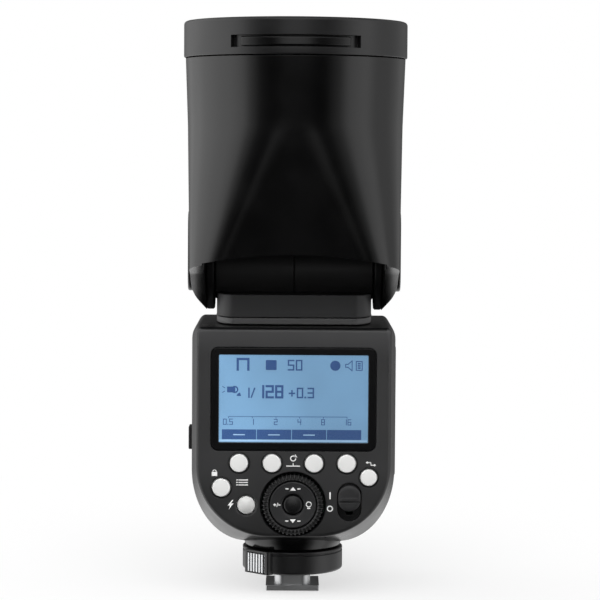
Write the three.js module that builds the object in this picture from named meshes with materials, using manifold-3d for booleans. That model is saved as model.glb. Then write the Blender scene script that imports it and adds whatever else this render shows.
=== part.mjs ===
// A round-head camera flash on a hot-shoe foot, as an assembly of separate named pieces.
// Units are millimetres and +Z is up. The origin is the centre of the shoe plate's underside.
// -Y is the display side, +Y the side that the body's front faces, +X the battery side.
// The head points straight up at rest.
import * as THREE from "three";
import { mergeVertices } from "three/addons/utils/BufferGeometryUtils.js";
import Module from "manifold-3d";

const wasm = await Module();
wasm.setup();

// ---- Driving dimensions -------------------------------------------------------------------

const GAP = 0.3; // clearance between neighbouring pieces
const WALL = 2.2; // moulded shell thickness

const SHOE = { width: 18.6, thickness: 1.9, neckWidth: 12.5, hubRadius: 8 };
const LOCK_RING = { radius: 17.5, bore: 8.4, bottom: 6.7, top: 14.7 };
const COLLAR = { radius: 17.3, bottomRadius: 16.8, bottom: 15.1, top: 21 };
const PIN = { radius: 0.7, tip: -0.6, top: 5 };
const CENTRE_PIN = { radius: 1.2, tip: 0, top: 5 }; // flush with the plate, so its tip is the origin
const LOCK_PIN = { radius: 1, y: 6.6, bottom: 0.2, top: 11.5 };

const BODY = {
  back: -28,
  flareEnd: -12,
  parting: -9,
  front: 38,
  top: 93.3,
};
const SHELL = {
  halfWidth: 35.1,
  bottom: 18,
  cornerWidth: 19.5,
  cornerHeight: 25,
  topCornerWidth: 3,
  topCornerHeight: 5,
};
const PANEL = {
  halfWidth: 33.3,
  bottom: 21.6,
  cornerWidth: 25.3,
  cornerHeight: 24.4,
  topCornerWidth: 1.5,
  topCornerHeight: 1.5,
};

const SCREEN = { width: 50.9, bottom: 53.7, top: 84.1 };
const BEZEL = { width: 56.5, bottom: 51.2, top: 86.7, corner: 2.8, depth: 1.4 };

const BUTTON = { radius: 3.05, proud: 0.6 };
const FUNCTION_BUTTON_X = [-18.4, -7.2, 7.1, 18.2];
const FUNCTION_BUTTON_Z = 47.1;
const DIAL = { z: 33, outer: 10.6, inner: 8.3, pad: 8, setHole: 3.6, set: 3.25 };
const SWITCH = { x: 19.2, z: 34, width: 8.3, height: 13.3, knobZ: 35.3, knobHeight: 9 };

const SWIVEL_Y = 4; // the swivel axis is vertical here, and crosses the tilt axis
const TILT_Z = 112;

const NECK = {
  halfWidth: 26.9,
  halfDepth: 23,
  cornerWidth: 6.5,
  cornerDepth: 17,
  baseBottom: 93.7,
  baseTop: 95.9,
  blockTop: 103.8,
};
const BARREL = { radius: 11, halfLength: 27.5, bore: 3.6 };
const TUBE = { radius: 11, bore: 8, flange: 13.4 };

const HEAD = {
  axisY: -17,
  topRadius: 37.4,
  top: 184.1,
  foot: 92,
  squareBelow: 116,
  roundAbove: 163,
  frontSwellsAbove: 155,
  levels: 7,
  halfWidth: 35.2,
  back: -48,
  front: 17,
  backCorner: 12.5,
  frontCorner: 6,
  floor: 131,
};
const EAR = { radius: 14.8, inner: 30.5 };
const EAR_BEVEL = { width: 4, top: 103.5, bottom: 96.8 };
const RIM = { radius: 38, bore: 34.8, ledge: 32.8, bottom: 184.4, top: 196.7, edge: 1 };
const RIM_SLOT = { bottom: 186.8, top: 190.8, halfAngle: 34, depth: 2 };
const SIDE_CAP = { halfWidth: 5.9, bottom: 103.9, top: 132.2, proud: 2, sunk: 0.9 };
const AXLE = { radius: 3, halfLength: 33.9 };
const HUB_RADIUS = 14.5;

const REFLECTOR = { bottom: 162.3, height: 22, mouth: 24, throat: 6, wall: 1.2 };
const ZOOM_GUIDE_X = 27.5;
const FLASH_TUBE_Z = 171;

const BOARD_THICKNESS = 1.6;
const DISPLAY_MODULE = { halfWidth: 29, bottom: 51.6, top: 87.5, front: -25.3, back: -22 };
const CONTROL_BOARD = { halfWidth: 23, bottom: 29.5, top: 49.5, y: -20.5 };
const MAIN_BOARD = { halfWidth: 27, bottom: 30, top: 86, y: -15.6 };
const CAPACITOR = { y: 28.2, z: 52, radius: 7, left: -29, right: 20 };
const USB = { back: 5, front: 14, bottom: 41.5, top: 45.5 };
const JACK = { y: 10, z: 54, radius: 2.8, bore: 1.75 };
const SOCKETS = { face: -32.5, usbEnd: -26, jackEnd: -24 };
const ASSIST = { halfWidth: 16, bottom: 57, top: 73, corner: 3 };

const BATTERY = { back: -5, front: 19, bottom: 42, top: 84, depth: 55.5 };
const BATTERY_DOOR = { back: -7, front: 21, bottom: 40.4, top: 85.3, proud: 0.4 };
const PORT_DOOR = { back: 0, front: 20, bottom: 36, top: 62, thickness: 1.5 };

// ---- Finishes -----------------------------------------------------------------------------

function finish(color, roughness, metalness = 0) {
  return new THREE.MeshStandardMaterial({ color, roughness, metalness });
}

const satinBlack = () => finish(0x121213, 0.42);
const matteBlack = () => finish(0x2b2b2d, 0.6);
const softBlack = () => finish(0x17171a, 0.8);
const buttonGrey = () => finish(0xd9d9d6, 0.5);
const chrome = () => finish(0xb9bcc0, 0.25, 1);
const steel = () => finish(0x8e9196, 0.35, 1);
const circuitGreen = () => finish(0x1d5a36, 0.55);
const clearGlass = () => finish(0xe6eef2, 0.08);
const displayBlue = () => finish(0x7fa6cf, 0.4);
const darkRed = () => finish(0x3a0508, 0.15);
const silver = () => finish(0xd5d7da, 0.12, 1);

// ---- Solids -------------------------------------------------------------------------------

// A closed geometry as a solid that can be joined and cut.
function solid(geometry) {
  const bare = geometry.index ? geometry.toNonIndexed() : geometry.clone();
  bare.deleteAttribute("normal");
  bare.deleteAttribute("uv");
  const merged = mergeVertices(bare, 1e-4);
  return new wasm.Manifold(
    new wasm.Mesh({
      numProp: 3,
      vertProperties: merged.attributes.position.array,
      triVerts: new Uint32Array(merged.index.array),
    }),
  );
}

function geometryOf(manifold) {
  const mesh = manifold.getMesh();
  const geometry = new THREE.BufferGeometry();
  geometry.setAttribute("position", new THREE.BufferAttribute(mesh.vertProperties, 3));
  geometry.setIndex(new THREE.BufferAttribute(mesh.triVerts, 1));
  geometry.computeVertexNormals();
  return geometry;
}

function join(...solids) {
  return solids.reduce((all, next) => all.add(next));
}

function cut(blank, ...tools) {
  return tools.reduce((left, tool) => left.subtract(tool), blank);
}

function mirrored(make) {
  return join(make(-1), make(1));
}

// ---- Outlines and swept shapes ------------------------------------------------------------

const AXES = {
  x: [new THREE.Vector3(0, 1, 0), new THREE.Vector3(0, 0, 1), new THREE.Vector3(1, 0, 0)],
  y: [new THREE.Vector3(1, 0, 0), new THREE.Vector3(0, 0, 1), new THREE.Vector3(0, -1, 0)],
  z: [new THREE.Vector3(1, 0, 0), new THREE.Vector3(0, 1, 0), new THREE.Vector3(0, 0, 1)],
};

// An outline pushed along an axis. It is drawn in (y, z) for x, in (x, z) for y, in (x, y) for z.
function prism(shape, axis, from, to, curveSegments = 3) {
  const options = { depth: to - from, bevelEnabled: false, curveSegments };
  const geometry = new THREE.ExtrudeGeometry(shape, options);
  const turn = new THREE.Matrix4().makeBasis(...AXES[axis]);
  geometry.applyMatrix4(turn);
  if (axis === "y") geometry.translate(0, to, 0);
  if (axis === "x") geometry.translate(from, 0, 0);
  if (axis === "z") geometry.translate(0, 0, from);
  return solid(geometry);
}

// A closed outline, counter-clockwise through corners [u, v, radius], each rounded by an arc.
function outline(corners) {
  const shape = new THREE.Shape();
  corners.forEach(([u, v, radius = 0], i) => {
    const corner = new THREE.Vector2(u, v);
    const previous = corners.at(i - 1);
    const next = corners[(i + 1) % corners.length];
    const back = new THREE.Vector2(previous[0], previous[1]).sub(corner).normalize();
    const ahead = new THREE.Vector2(next[0], next[1]).sub(corner).normalize();
    const half = Math.acos(back.dot(ahead)) / 2;
    const start = corner.clone().addScaledVector(back, radius / Math.tan(half));
    if (i === 0) shape.moveTo(start.x, start.y);
    else shape.lineTo(start.x, start.y);
    if (radius === 0) return;
    const end = corner.clone().addScaledVector(ahead, radius / Math.tan(half));
    const middle = back.clone().add(ahead).normalize();
    const centre = corner.clone().addScaledVector(middle, radius / Math.sin(half));
    const from = start.clone().sub(centre).angle();
    const to = end.clone().sub(centre).angle();
    shape.absarc(centre.x, centre.y, radius, from, to, back.cross(ahead) > 0);
  });
  return shape;
}

function rectangle(left, bottom, right, top, radius = 0) {
  return outline([
    [left, bottom, radius],
    [right, bottom, radius],
    [right, top, radius],
    [left, top, radius],
  ]);
}

function circle(u, v, radius) {
  const shape = new THREE.Shape();
  shape.absarc(u, v, radius, 0, 2 * Math.PI);
  return shape;
}

function box(left, back, bottom, right, front, top) {
  return prism(rectangle(left, back, right, front), "z", bottom, top);
}

// A cylinder along an axis, centred on (u, v) in the same plane as a prism's outline.
function rod(axis, u, v, radius, from, to, segments = 20) {
  return prism(circle(u, v, radius), axis, from, to, segments / 2);
}

// A profile of [radius, z] corners, going up on the outside, turned about a vertical axis.
function turned(profile, segments, x = 0, y = 0) {
  const points = profile.map(([radius, z]) => new THREE.Vector2(radius, z));
  points.push(points[0].clone());
  const geometry = new THREE.LatheGeometry(points, segments);
  geometry.rotateX(Math.PI / 2);
  geometry.translate(x, y, 0);
  return solid(geometry);
}

// A skin over rings of points, lowest ring first, each counter-clockwise seen from the far end.
function loft(rings) {
  const count = rings[0].length;
  const points = rings.flat();
  const faces = [];
  for (let ring = 0; ring < rings.length - 1; ring++) {
    for (let i = 0; i < count; i++) {
      const a = ring * count + i;
      const b = ring * count + ((i + 1) % count);
      faces.push(a, b, b + count, a, b + count, a + count);
    }
  }
  const last = (rings.length - 1) * count;
  for (let i = 1; i < count - 1; i++) {
    faces.push(0, i + 1, i);
    faces.push(last, last + i, last + i + 1);
  }
  const geometry = new THREE.BufferGeometry().setFromPoints(points);
  geometry.setIndex(faces);
  return solid(geometry);
}

// Points along a quarter ellipse about (u, v), counter-clockwise from a whole number of quarters.
function quarterEllipse(u, v, width, height, quarters, steps = 10) {
  const points = [];
  for (let i = 0; i <= steps; i++) {
    const angle = (quarters + i / steps) * (Math.PI / 2);
    points.push(new THREE.Vector2(u + width * Math.cos(angle), v + height * Math.sin(angle)));
  }
  return points;
}

// ---- The assembly's groups ----------------------------------------------------------------

const flash = new THREE.Group();
const body = new THREE.Group();
const controls = new THREE.Group();
const foot = new THREE.Group();
const neck = new THREE.Group();
const head = new THREE.Group();
flash.add(body, controls, foot, neck);
neck.add(head);

function place(group, name, manifold, material, x = 0, y = 0, z = 0) {
  const mesh = new THREE.Mesh(geometryOf(manifold), material);
  mesh.name = name;
  mesh.position.set(x, y, z);
  group.add(mesh);
}

// ---- Body shells --------------------------------------------------------------------------

// The body seen from the display side: straight sides and top, elliptical corners.
function bodyOutline(form, inset) {
  const { halfWidth, cornerWidth, cornerHeight, topCornerWidth, topCornerHeight } = form;
  const lowX = halfWidth - cornerWidth;
  const lowZ = form.bottom + cornerHeight;
  const low = [cornerWidth - inset, cornerHeight - inset];
  const highX = halfWidth - inset - topCornerWidth;
  const highZ = BODY.top - inset - topCornerHeight;
  const high = [topCornerWidth, topCornerHeight];
  return [
    ...quarterEllipse(lowX, lowZ, ...low, 3),
    ...quarterEllipse(highX, highZ, ...high, 0, 4),
    ...quarterEllipse(-highX, highZ, ...high, 1, 4),
    ...quarterEllipse(-lowX, lowZ, ...low, 2),
  ];
}

function ringAt(points, y) {
  return points.map((point) => new THREE.Vector3(point.x, y, point.y)).reverse();
}

// The whole body block, or its cavity when inset by the wall.
function bodyBlock(inset) {
  const panel = bodyOutline(PANEL, inset);
  const softened = bodyOutline(PANEL, inset + 0.6);
  const shell = bodyOutline(SHELL, inset);
  const frontEdge = bodyOutline(SHELL, inset + 3);
  return loft([
    ringAt(softened, BODY.back + inset),
    ringAt(panel, BODY.back + inset + 0.8),
    ringAt(shell, BODY.flareEnd),
    ringAt(shell, BODY.front - inset - 3),
    ringAt(frontEdge, BODY.front - inset),
  ]);
}

function behindParting(offset) {
  return box(-40, -40, 0, 40, BODY.parting + offset, 110);
}

function bodyOpenings() {
  return join(
    rod("z", 0, 0, COLLAR.radius + GAP, 10, COLLAR.top + GAP, 48),
    rod("z", 0, SWIVEL_Y, TUBE.radius + GAP, 88, 100),
    prism(
      rectangle(
        BATTERY_DOOR.back - GAP,
        BATTERY_DOOR.bottom - GAP,
        BATTERY_DOOR.front + GAP,
        BATTERY_DOOR.top + GAP,
        2 + GAP,
      ),
      "x",
      28,
      40,
    ),
  );
}

function controlOpenings() {
  const through = [BODY.back - 2, BODY.back + 5];
  const holes = buttonPlaces.map(([, x, z, radius]) => {
    return rod("y", x, z, radius + GAP + 0.05, ...through, 12);
  });
  const bezelHalf = BEZEL.width / 2;
  const screenHalf = SCREEN.width / 2;
  const bezelFloor = BODY.back + BEZEL.depth;
  return join(
    ...holes,
    rod("y", 0, DIAL.z, DIAL.outer + GAP, ...through, 20),
    prism(
      rectangle(-bezelHalf, BEZEL.bottom, bezelHalf, BEZEL.top, BEZEL.corner),
      "y",
      BODY.back - 2,
      bezelFloor,
    ),
    prism(rectangle(-screenHalf, SCREEN.bottom, screenHalf, SCREEN.top), "y", ...through),
    prism(switchOutline(SWITCH.z, SWITCH.width, SWITCH.height), "y", BODY.back - 2, BODY.back + 1.4),
    box(SWITCH.x - 1.3, BODY.back, SWITCH.z - 4.6, SWITCH.x + 1.3, BODY.back + 5, SWITCH.z + 4),
  );
}

function switchOutline(z, width, height) {
  const half = width / 2;
  const left = SWITCH.x - half;
  const right = SWITCH.x + half;
  return rectangle(left, z - height / 2, right, z + height / 2, half - 0.05);
}

function portPocket() {
  const left = -SHELL.halfWidth;
  return box(
    left - 2,
    PORT_DOOR.back - GAP,
    PORT_DOOR.bottom - GAP,
    left + PORT_DOOR.thickness + GAP,
    PORT_DOOR.front + GAP,
    PORT_DOOR.top + GAP,
  );
}

function socketHoles() {
  return join(
    box(-36, USB.back - GAP, USB.bottom - GAP, -30, USB.front + GAP, USB.top + GAP),
    rod("x", JACK.y, JACK.z, JACK.radius + GAP, -36, -30, 10),
  );
}

function rearCover() {
  const shell = bodyBlock(0).subtract(bodyBlock(WALL)).intersect(behindParting(0));
  return cut(shell, bodyOpenings(), controlOpenings());
}

function frontCover() {
  const shell = bodyBlock(0).subtract(bodyBlock(WALL)).subtract(behindParting(GAP));
  const portWall = box(-34, -3, 33, -31, 23, 65).intersect(bodyBlock(0.5));
  const assist = prism(assistOutline(GAP), "y", BODY.front - 1.4, BODY.front + 2);
  return cut(shell.add(portWall), bodyOpenings(), portPocket(), socketHoles(), assist);
}

function assistOutline(margin) {
  const { halfWidth, bottom, top, corner } = ASSIST;
  const side = halfWidth + margin;
  return rectangle(-side, bottom - margin, side, top + margin, corner + margin);
}

function assistWindow() {
  return prism(assistOutline(0), "y", BODY.front - 1.1, BODY.front - 0.1);
}

// ---- Display, boards and body internals ---------------------------------------------------

function lcdWindow() {
  const half = BEZEL.width / 2 - GAP;
  const shape = rectangle(-half, BEZEL.bottom + GAP, half, BEZEL.top - GAP, BEZEL.corner - GAP);
  return prism(shape, "y", BODY.back + 0.3, BODY.back + 1.1);
}

function lcdModule() {
  const { halfWidth, bottom, top, front, back } = DISPLAY_MODULE;
  return box(-halfWidth, front, bottom, halfWidth, back, top);
}

function controlBoard() {
  const { halfWidth, bottom, top, y } = CONTROL_BOARD;
  const board = box(-halfWidth, y, bottom, halfWidth, y + BOARD_THICKNESS, top);
  return cut(board, rod("y", 0, DIAL.z, 2, -22, -18, 8));
}

function mainBoard() {
  const { halfWidth, bottom, top, y } = MAIN_BOARD;
  return box(-halfWidth, y, bottom, halfWidth, y + BOARD_THICKNESS, top);
}

function mainCapacitor() {
  const { y, z, radius, left, right } = CAPACITOR;
  return rod("x", y, z, radius, left, right, 12);
}

function bearingRing() {
  const outer = TUBE.flange + 2.6;
  const inner = TUBE.radius + GAP;
  return turned([[inner, 87.4], [outer, 87.4], [outer, 90.7], [inner, 90.7]], 32, 0, SWIVEL_Y);
}

function usbSocket() {
  return box(SOCKETS.face, USB.back, USB.bottom, SOCKETS.usbEnd, USB.front, USB.top);
}

function syncJack() {
  const { y, z, radius, bore } = JACK;
  const jack = rod("x", y, z, radius, SOCKETS.face, SOCKETS.jackEnd, 10);
  return cut(jack, rod("x", y, z, bore, SOCKETS.face - 1, SOCKETS.jackEnd - 2, 8));
}

// ---- Battery and port door ----------------------------------------------------------------

function batteryPack() {
  const shape = rectangle(BATTERY.back, BATTERY.bottom, BATTERY.front, BATTERY.top, 3);
  return prism(shape, "x", 32.2 - BATTERY.depth, 32.2, 4);
}

function batteryEndCap() {
  const door = BATTERY_DOOR;
  const outer = SHELL.halfWidth + door.proud;
  const plate = prism(rectangle(door.back, door.bottom, door.front, door.top, 2), "x", 32.5, outer);
  return cut(plate, prism(rectangle(2.2, 68.7, 11.8, 80.3, 2.3), "x", outer - 1.9, 40));
}

function batteryLatch() {
  const outer = SHELL.halfWidth + BATTERY_DOOR.proud;
  return prism(rectangle(2.5, 69, 11.5, 80, 2), "x", outer - 0.8, outer + 0.2, 4);
}

function portDoor() {
  const left = -SHELL.halfWidth;
  const { back, front, bottom, top, thickness } = PORT_DOOR;
  const plate = prism(rectangle(back, bottom, front, top, 1.2), "x", left - 0.2, left + thickness, 4);
  const tab = box(left - 1.8, 3, 47.8, left, 11, 55.9);
  return join(plate, tab);
}

// ---- Controls -----------------------------------------------------------------------------

// Every round push button: name, x, z and radius.
const buttonPlaces = [
  ...FUNCTION_BUTTON_X.map((x, i) => {
    return ["function_button_" + (i + 1), x, FUNCTION_BUTTON_Z, BUTTON.radius];
  }),
  ["sync_button", 25.7, 42.4, 2.8],
  ["menu_button", -24.4, 38.7, BUTTON.radius],
  ["test_button", -15.9, 32.7, BUTTON.radius],
];

// A button at its own centre: a cap through the panel on a wider flange behind it.
function pushButton(radius) {
  const flangeFront = BODY.back + WALL + GAP;
  return join(
    rod("y", 0, 0, radius, BODY.back - BUTTON.proud, flangeFront + 0.1, 12),
    rod("y", 0, 0, radius + 0.8, flangeFront, flangeFront + 1, 12),
  );
}

function dialRing() {
  const flangeFront = BODY.back + WALL + GAP;
  const ring = rod("y", 0, DIAL.z, DIAL.outer, BODY.back - 1.3, flangeFront + 1, 24);
  return cut(ring, rod("y", 0, DIAL.z, DIAL.inner, -31, -20, 16));
}

function fourWayPad() {
  const disc = rod("y", 0, DIAL.z, DIAL.pad, BODY.back - 0.9, -25.4, 16);
  return cut(disc, rod("y", 0, DIAL.z, DIAL.setHole, -31, -20, 12));
}

function padGimbal() {
  const ring = rod("y", 0, DIAL.z, 7.4, -25, -23.4, 12);
  return cut(ring, rod("y", 0, DIAL.z, 5.4, -26, -22, 12));
}

function setButton() {
  return join(
    rod("y", 0, DIAL.z, DIAL.set, BODY.back - 1, -24.4, 12),
    rod("y", 0, DIAL.z, DIAL.set + 1.2, -25, -23.4, 12),
  );
}

function powerSwitch() {
  const { x, knobZ, width, knobHeight } = SWITCH;
  const knob = switchOutline(knobZ, width - 2 * GAP, knobHeight);
  const grip = box(x - 3, BODY.back - 1.1, knobZ - 0.9, x + 3, BODY.back, knobZ + 0.9);
  return join(
    prism(knob, "y", BODY.back - 0.7, BODY.back + 1.1),
    grip,
    box(x - 1, BODY.back + 1, knobZ - 2, x + 1, BODY.back + 4, knobZ + 2),
  );
}

// ---- Foot ---------------------------------------------------------------------------------

const RELEASE_ANGLE = THREE.MathUtils.degToRad(227); // where the release button faces
const RELEASE = { halfWidth: 3.9, bottom: 7.3, top: 13.7, inner: 15, outer: 18.9 };

// Moves a solid drawn along +X round to the release button's side.
function atRelease(manifold) {
  const geometry = geometryOf(manifold);
  geometry.rotateZ(RELEASE_ANGLE);
  return solid(geometry);
}

function lockRing() {
  const { radius, bore, bottom, top } = LOCK_RING;
  const ring = turned(
    [
      [bore, bottom],
      [radius - 1, bottom],
      [radius, bottom + 1],
      [radius, top],
      [bore, top],
    ],
    48,
  );
  const frame = box(13, -5.7, bottom, 18.6, 5.7, top);
  const { halfWidth, inner } = RELEASE;
  const pocket = box(
    inner - 1.9,
    -halfWidth - GAP,
    RELEASE.bottom - GAP,
    20,
    halfWidth + GAP,
    RELEASE.top + GAP,
  );
  return ring.add(atRelease(frame)).subtract(atRelease(pocket));
}

function releaseButton() {
  const { halfWidth, bottom, top, inner, outer } = RELEASE;
  return atRelease(box(inner, -halfWidth, bottom, outer, halfWidth, top));
}

function footCollar() {
  const { radius, bottomRadius, bottom, top } = COLLAR;
  return turned(
    [
      [0, bottom],
      [bottomRadius, bottom],
      [radius, bottom + 2],
      [radius, top],
      [0, top],
    ],
    48,
  );
}

function shoeFoot() {
  const half = SHOE.width / 2;
  const neckHalf = SHOE.neckWidth / 2;
  const plate = box(-half, -half, 0, half, half, SHOE.thickness);
  const rails = box(-neckHalf, -half + 1, SHOE.thickness - 0.1, neckHalf, half - 1, 5);
  const hub = rod("z", 0, 0, SHOE.hubRadius, 4.9, COLLAR.bottom - GAP, 16);
  const pinHoles = pinPlaces.map(([x, y, { radius, top }]) => {
    return rod("z", x, y, radius + GAP, -1, top + 1, 12);
  });
  const lockHole = rod("z", 0, LOCK_PIN.y, LOCK_PIN.radius + GAP, -1, LOCK_PIN.top + GAP, 8);
  return cut(join(plate, rails, hub), ...pinHoles, lockHole);
}

// Every contact under the plate: x, y and size.
const pinPlaces = [
  [0, 0, CENTRE_PIN],
  [-1.9, -4.6, PIN],
  [1.9, -4.6, PIN],
  [-4.6, 2.2, PIN],
  [4.6, 2.2, PIN],
];

function contactPin({ radius, tip, top }) {
  return turned([[0, tip], [radius - 0.3, tip], [radius, tip + 0.3], [radius, top], [0, top]], 12);
}

function lockPin() {
  return rod("z", 0, LOCK_PIN.y, LOCK_PIN.radius, LOCK_PIN.bottom, LOCK_PIN.top - 2.5, 8);
}

// ---- Neck ---------------------------------------------------------------------------------

// The neck's plan: a flat back and front, with elliptical corners.
function neckPlan() {
  const { halfWidth, halfDepth, cornerWidth, cornerDepth } = NECK;
  const x = halfWidth - cornerWidth;
  const y = halfDepth - cornerDepth;
  const quarter = Math.PI / 2;
  const shape = new THREE.Shape();
  shape.moveTo(-x, SWIVEL_Y - halfDepth);
  shape.absellipse(x, SWIVEL_Y - y, cornerWidth, cornerDepth, -quarter, 0);
  shape.absellipse(x, SWIVEL_Y + y, cornerWidth, cornerDepth, 0, quarter);
  shape.absellipse(-x, SWIVEL_Y + y, cornerWidth, cornerDepth, quarter, 2 * quarter);
  shape.absellipse(-x, SWIVEL_Y - y, cornerWidth, cornerDepth, 2 * quarter, 3 * quarter);
  return shape;
}

// Keeps the neck's front clear of the head when it points forwards and down.
function neckFrontLimit() {
  return box(-40, SWIVEL_Y - 30, 80, 40, SWIVEL_Y + 15, 120);
}

function neckBasePlate() {
  const plate = prism(neckPlan(), "z", NECK.baseBottom, NECK.baseTop, 6);
  return cut(plate.intersect(neckFrontLimit()), rod("z", 0, SWIVEL_Y, TUBE.radius + GAP, 90, 100));
}

function neckBlock() {
  const block = prism(neckPlan(), "z", NECK.baseTop + GAP, NECK.blockTop, 6);
  const seat = rod("x", SWIVEL_Y, TILT_Z, BARREL.radius + GAP, -40, 40);
  const cableWay = rod("z", 0, SWIVEL_Y, TUBE.bore, 90, 110, 16);
  return cut(block.intersect(neckFrontLimit()), seat, cableWay);
}

function hingeBarrel(side) {
  const inner = 0.2;
  const outer = BARREL.halfLength;
  const from = side < 0 ? -outer : inner;
  const to = side < 0 ? -inner : outer;
  const barrel = rod("x", SWIVEL_Y, TILT_Z, BARREL.radius, from, to);
  return cut(barrel, rod("x", SWIVEL_Y, TILT_Z, BARREL.bore, -40, 40, 12));
}

function swivelTube() {
  const { radius, bore, flange } = TUBE;
  const top = NECK.baseTop;
  return turned(
    [[bore, 85.4], [flange, 85.4], [flange, 87.1], [radius, 87.1], [radius, top], [bore, top]],
    32,
    0,
    SWIVEL_Y,
  );
}

// ---- Head ---------------------------------------------------------------------------------

// How far a value lies between two others, from 0 to 1.
function share(value, start, end) {
  return THREE.MathUtils.clamp((value - start) / (end - start), 0, 1);
}

// The head's section at a height: a rounded square low down that becomes a circle at the rim.
function headSection(z, inset) {
  const { squareBelow, roundAbove, frontSwellsAbove, top, topRadius, axisY } = HEAD;
  const t = share(z, squareBelow, top);
  const backT = share(z, squareBelow, roundAbove);
  const frontT = share(z, frontSwellsAbove, top);
  const mix = THREE.MathUtils.lerp;
  const halfWidth = mix(HEAD.halfWidth, topRadius, t) - inset;
  const back = mix(HEAD.back, axisY - topRadius, t) + inset;
  const front = mix(HEAD.front, axisY + topRadius, frontT) - inset;
  const roundest = topRadius - 0.2;
  const backRadius = Math.min(mix(HEAD.backCorner, roundest, backT) - inset, halfWidth - 0.2);
  const frontRadius = mix(HEAD.frontCorner, roundest, t) - inset;
  const backX = halfWidth - backRadius;
  const frontX = halfWidth - frontRadius;
  const section = [
    ...quarterEllipse(backX, back + backRadius, backRadius, backRadius, 3),
    ...quarterEllipse(frontX, front - frontRadius, frontRadius, frontRadius, 0),
    ...quarterEllipse(-frontX, front - frontRadius, frontRadius, frontRadius, 1),
    ...quarterEllipse(-backX, back + backRadius, backRadius, backRadius, 2),
  ];
  return section.map((point) => new THREE.Vector3(point.x, point.y, z));
}

function headLoft(bottom, top, inset) {
  const shapedFrom = Math.max(bottom, HEAD.squareBelow);
  const heights = bottom < shapedFrom ? [bottom] : [];
  for (let i = 0; i <= HEAD.levels; i++) {
    heights.push(shapedFrom + (top - shapedFrom) * (i / HEAD.levels));
  }
  return loft(heights.map((z) => headSection(z, inset)));
}

// The head seen from the side: its lower edge sweeps down into the round end of the ears.
function headSideOutline() {
  const back = new THREE.Vector2(HEAD.back - SWIVEL_Y, 3.7);
  const knee = new THREE.Vector2(-33, -0.6);
  const tangent = knee.angle() + Math.acos(EAR.radius / knee.length());
  const shape = new THREE.Shape();
  shape.moveTo(SWIVEL_Y - 70, TILT_Z + 100);
  shape.lineTo(SWIVEL_Y - 70, TILT_Z + back.y);
  shape.lineTo(SWIVEL_Y + back.x, TILT_Z + back.y);
  shape.lineTo(SWIVEL_Y + knee.x, TILT_Z + knee.y);
  shape.absarc(SWIVEL_Y, TILT_Z, EAR.radius, tangent, 2 * Math.PI);
  shape.lineTo(SWIVEL_Y + 50, TILT_Z + 30);
  shape.lineTo(SWIVEL_Y + 50, TILT_Z + 100);
  return shape;
}

// The arched lower edge of the head's back wall, between the ears.
function backArch() {
  const springing = TILT_Z + 3.7;
  const crown = TILT_Z + 6.8;
  const shape = new THREE.Shape();
  shape.moveTo(-EAR.inner, 80);
  shape.lineTo(EAR.inner, 80);
  shape.lineTo(EAR.inner, springing);
  shape.quadraticCurveTo(0, 2 * crown - springing, -EAR.inner, springing);
  return prism(shape, "y", -70, HEAD.back + 10, 10);
}

function sideCapOutline(margin) {
  const left = SWIVEL_Y - SIDE_CAP.halfWidth - margin;
  const right = SWIVEL_Y + SIDE_CAP.halfWidth + margin;
  const radius = SIDE_CAP.halfWidth + margin - 0.05;
  return rectangle(left, SIDE_CAP.bottom - margin, right, SIDE_CAP.top + margin, radius);
}

// The corner that each ear loses low down on its outside, leaving it rounded.
function earBevel(side) {
  const { width, top, bottom } = EAR_BEVEL;
  const inner = HEAD.halfWidth - width;
  const rounding = quarterEllipse(inner, top, width, top - bottom, 3, 4);
  const corners = [...rounding, new THREE.Vector2(40, top), new THREE.Vector2(40, 80)];
  corners.push(new THREE.Vector2(inner, 80));
  const shape = new THREE.Shape(corners.map(({ x, y }) => new THREE.Vector2(side * x, y)));
  return prism(shape, "y", -60, 40);
}

function headHousing() {
  const blank = headLoft(HEAD.foot, HEAD.top, 0).intersect(prism(headSideOutline(), "x", -45, 45, 10));
  const cavity = headLoft(HEAD.floor + WALL, HEAD.top, WALL);
  const mouth = rod("z", 0, HEAD.axisY, RIM.ledge, HEAD.top - 0.5, HEAD.top + 5, 48);
  const forkCorner = HEAD.backCorner - WALL;
  const fork = outline([
    [-EAR.inner, HEAD.back + WALL, forkCorner],
    [EAR.inner, HEAD.back + WALL, forkCorner],
    [EAR.inner, 60],
    [-EAR.inner, 60],
  ]);
  const recesses = mirrored((side) => {
    const floor = HEAD.halfWidth - SIDE_CAP.sunk - GAP;
    return prism(sideCapOutline(GAP), "x", side < 0 ? -45 : floor, side < 0 ? -floor : 45, 6);
  });
  const axleHole = rod("x", SWIVEL_Y, TILT_Z, AXLE.radius + GAP, -45, 45, 12);
  return cut(
    blank,
    cavity,
    mouth,
    prism(fork, "z", 80, HEAD.floor),
    backArch(),
    recesses,
    axleHole,
    mirrored(earBevel),
  );
}

function sideCap(side) {
  const inner = HEAD.halfWidth - SIDE_CAP.sunk;
  const outer = HEAD.halfWidth + SIDE_CAP.proud;
  return prism(sideCapOutline(0), "x", side < 0 ? -outer : inner, side < 0 ? -inner : outer, 6);
}

function tiltHub(side) {
  const inner = BARREL.halfLength + GAP;
  const outer = EAR.inner - GAP;
  const from = side < 0 ? -outer : inner;
  const to = side < 0 ? -inner : outer;
  const disc = rod("x", SWIVEL_Y, TILT_Z, HUB_RADIUS, from, to, 24);
  return cut(disc, rod("x", SWIVEL_Y, TILT_Z, AXLE.radius + GAP, -40, 40, 12));
}

function tiltAxle() {
  return rod("x", SWIVEL_Y, TILT_Z, AXLE.radius, -AXLE.halfLength, AXLE.halfLength, 12);
}

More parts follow.
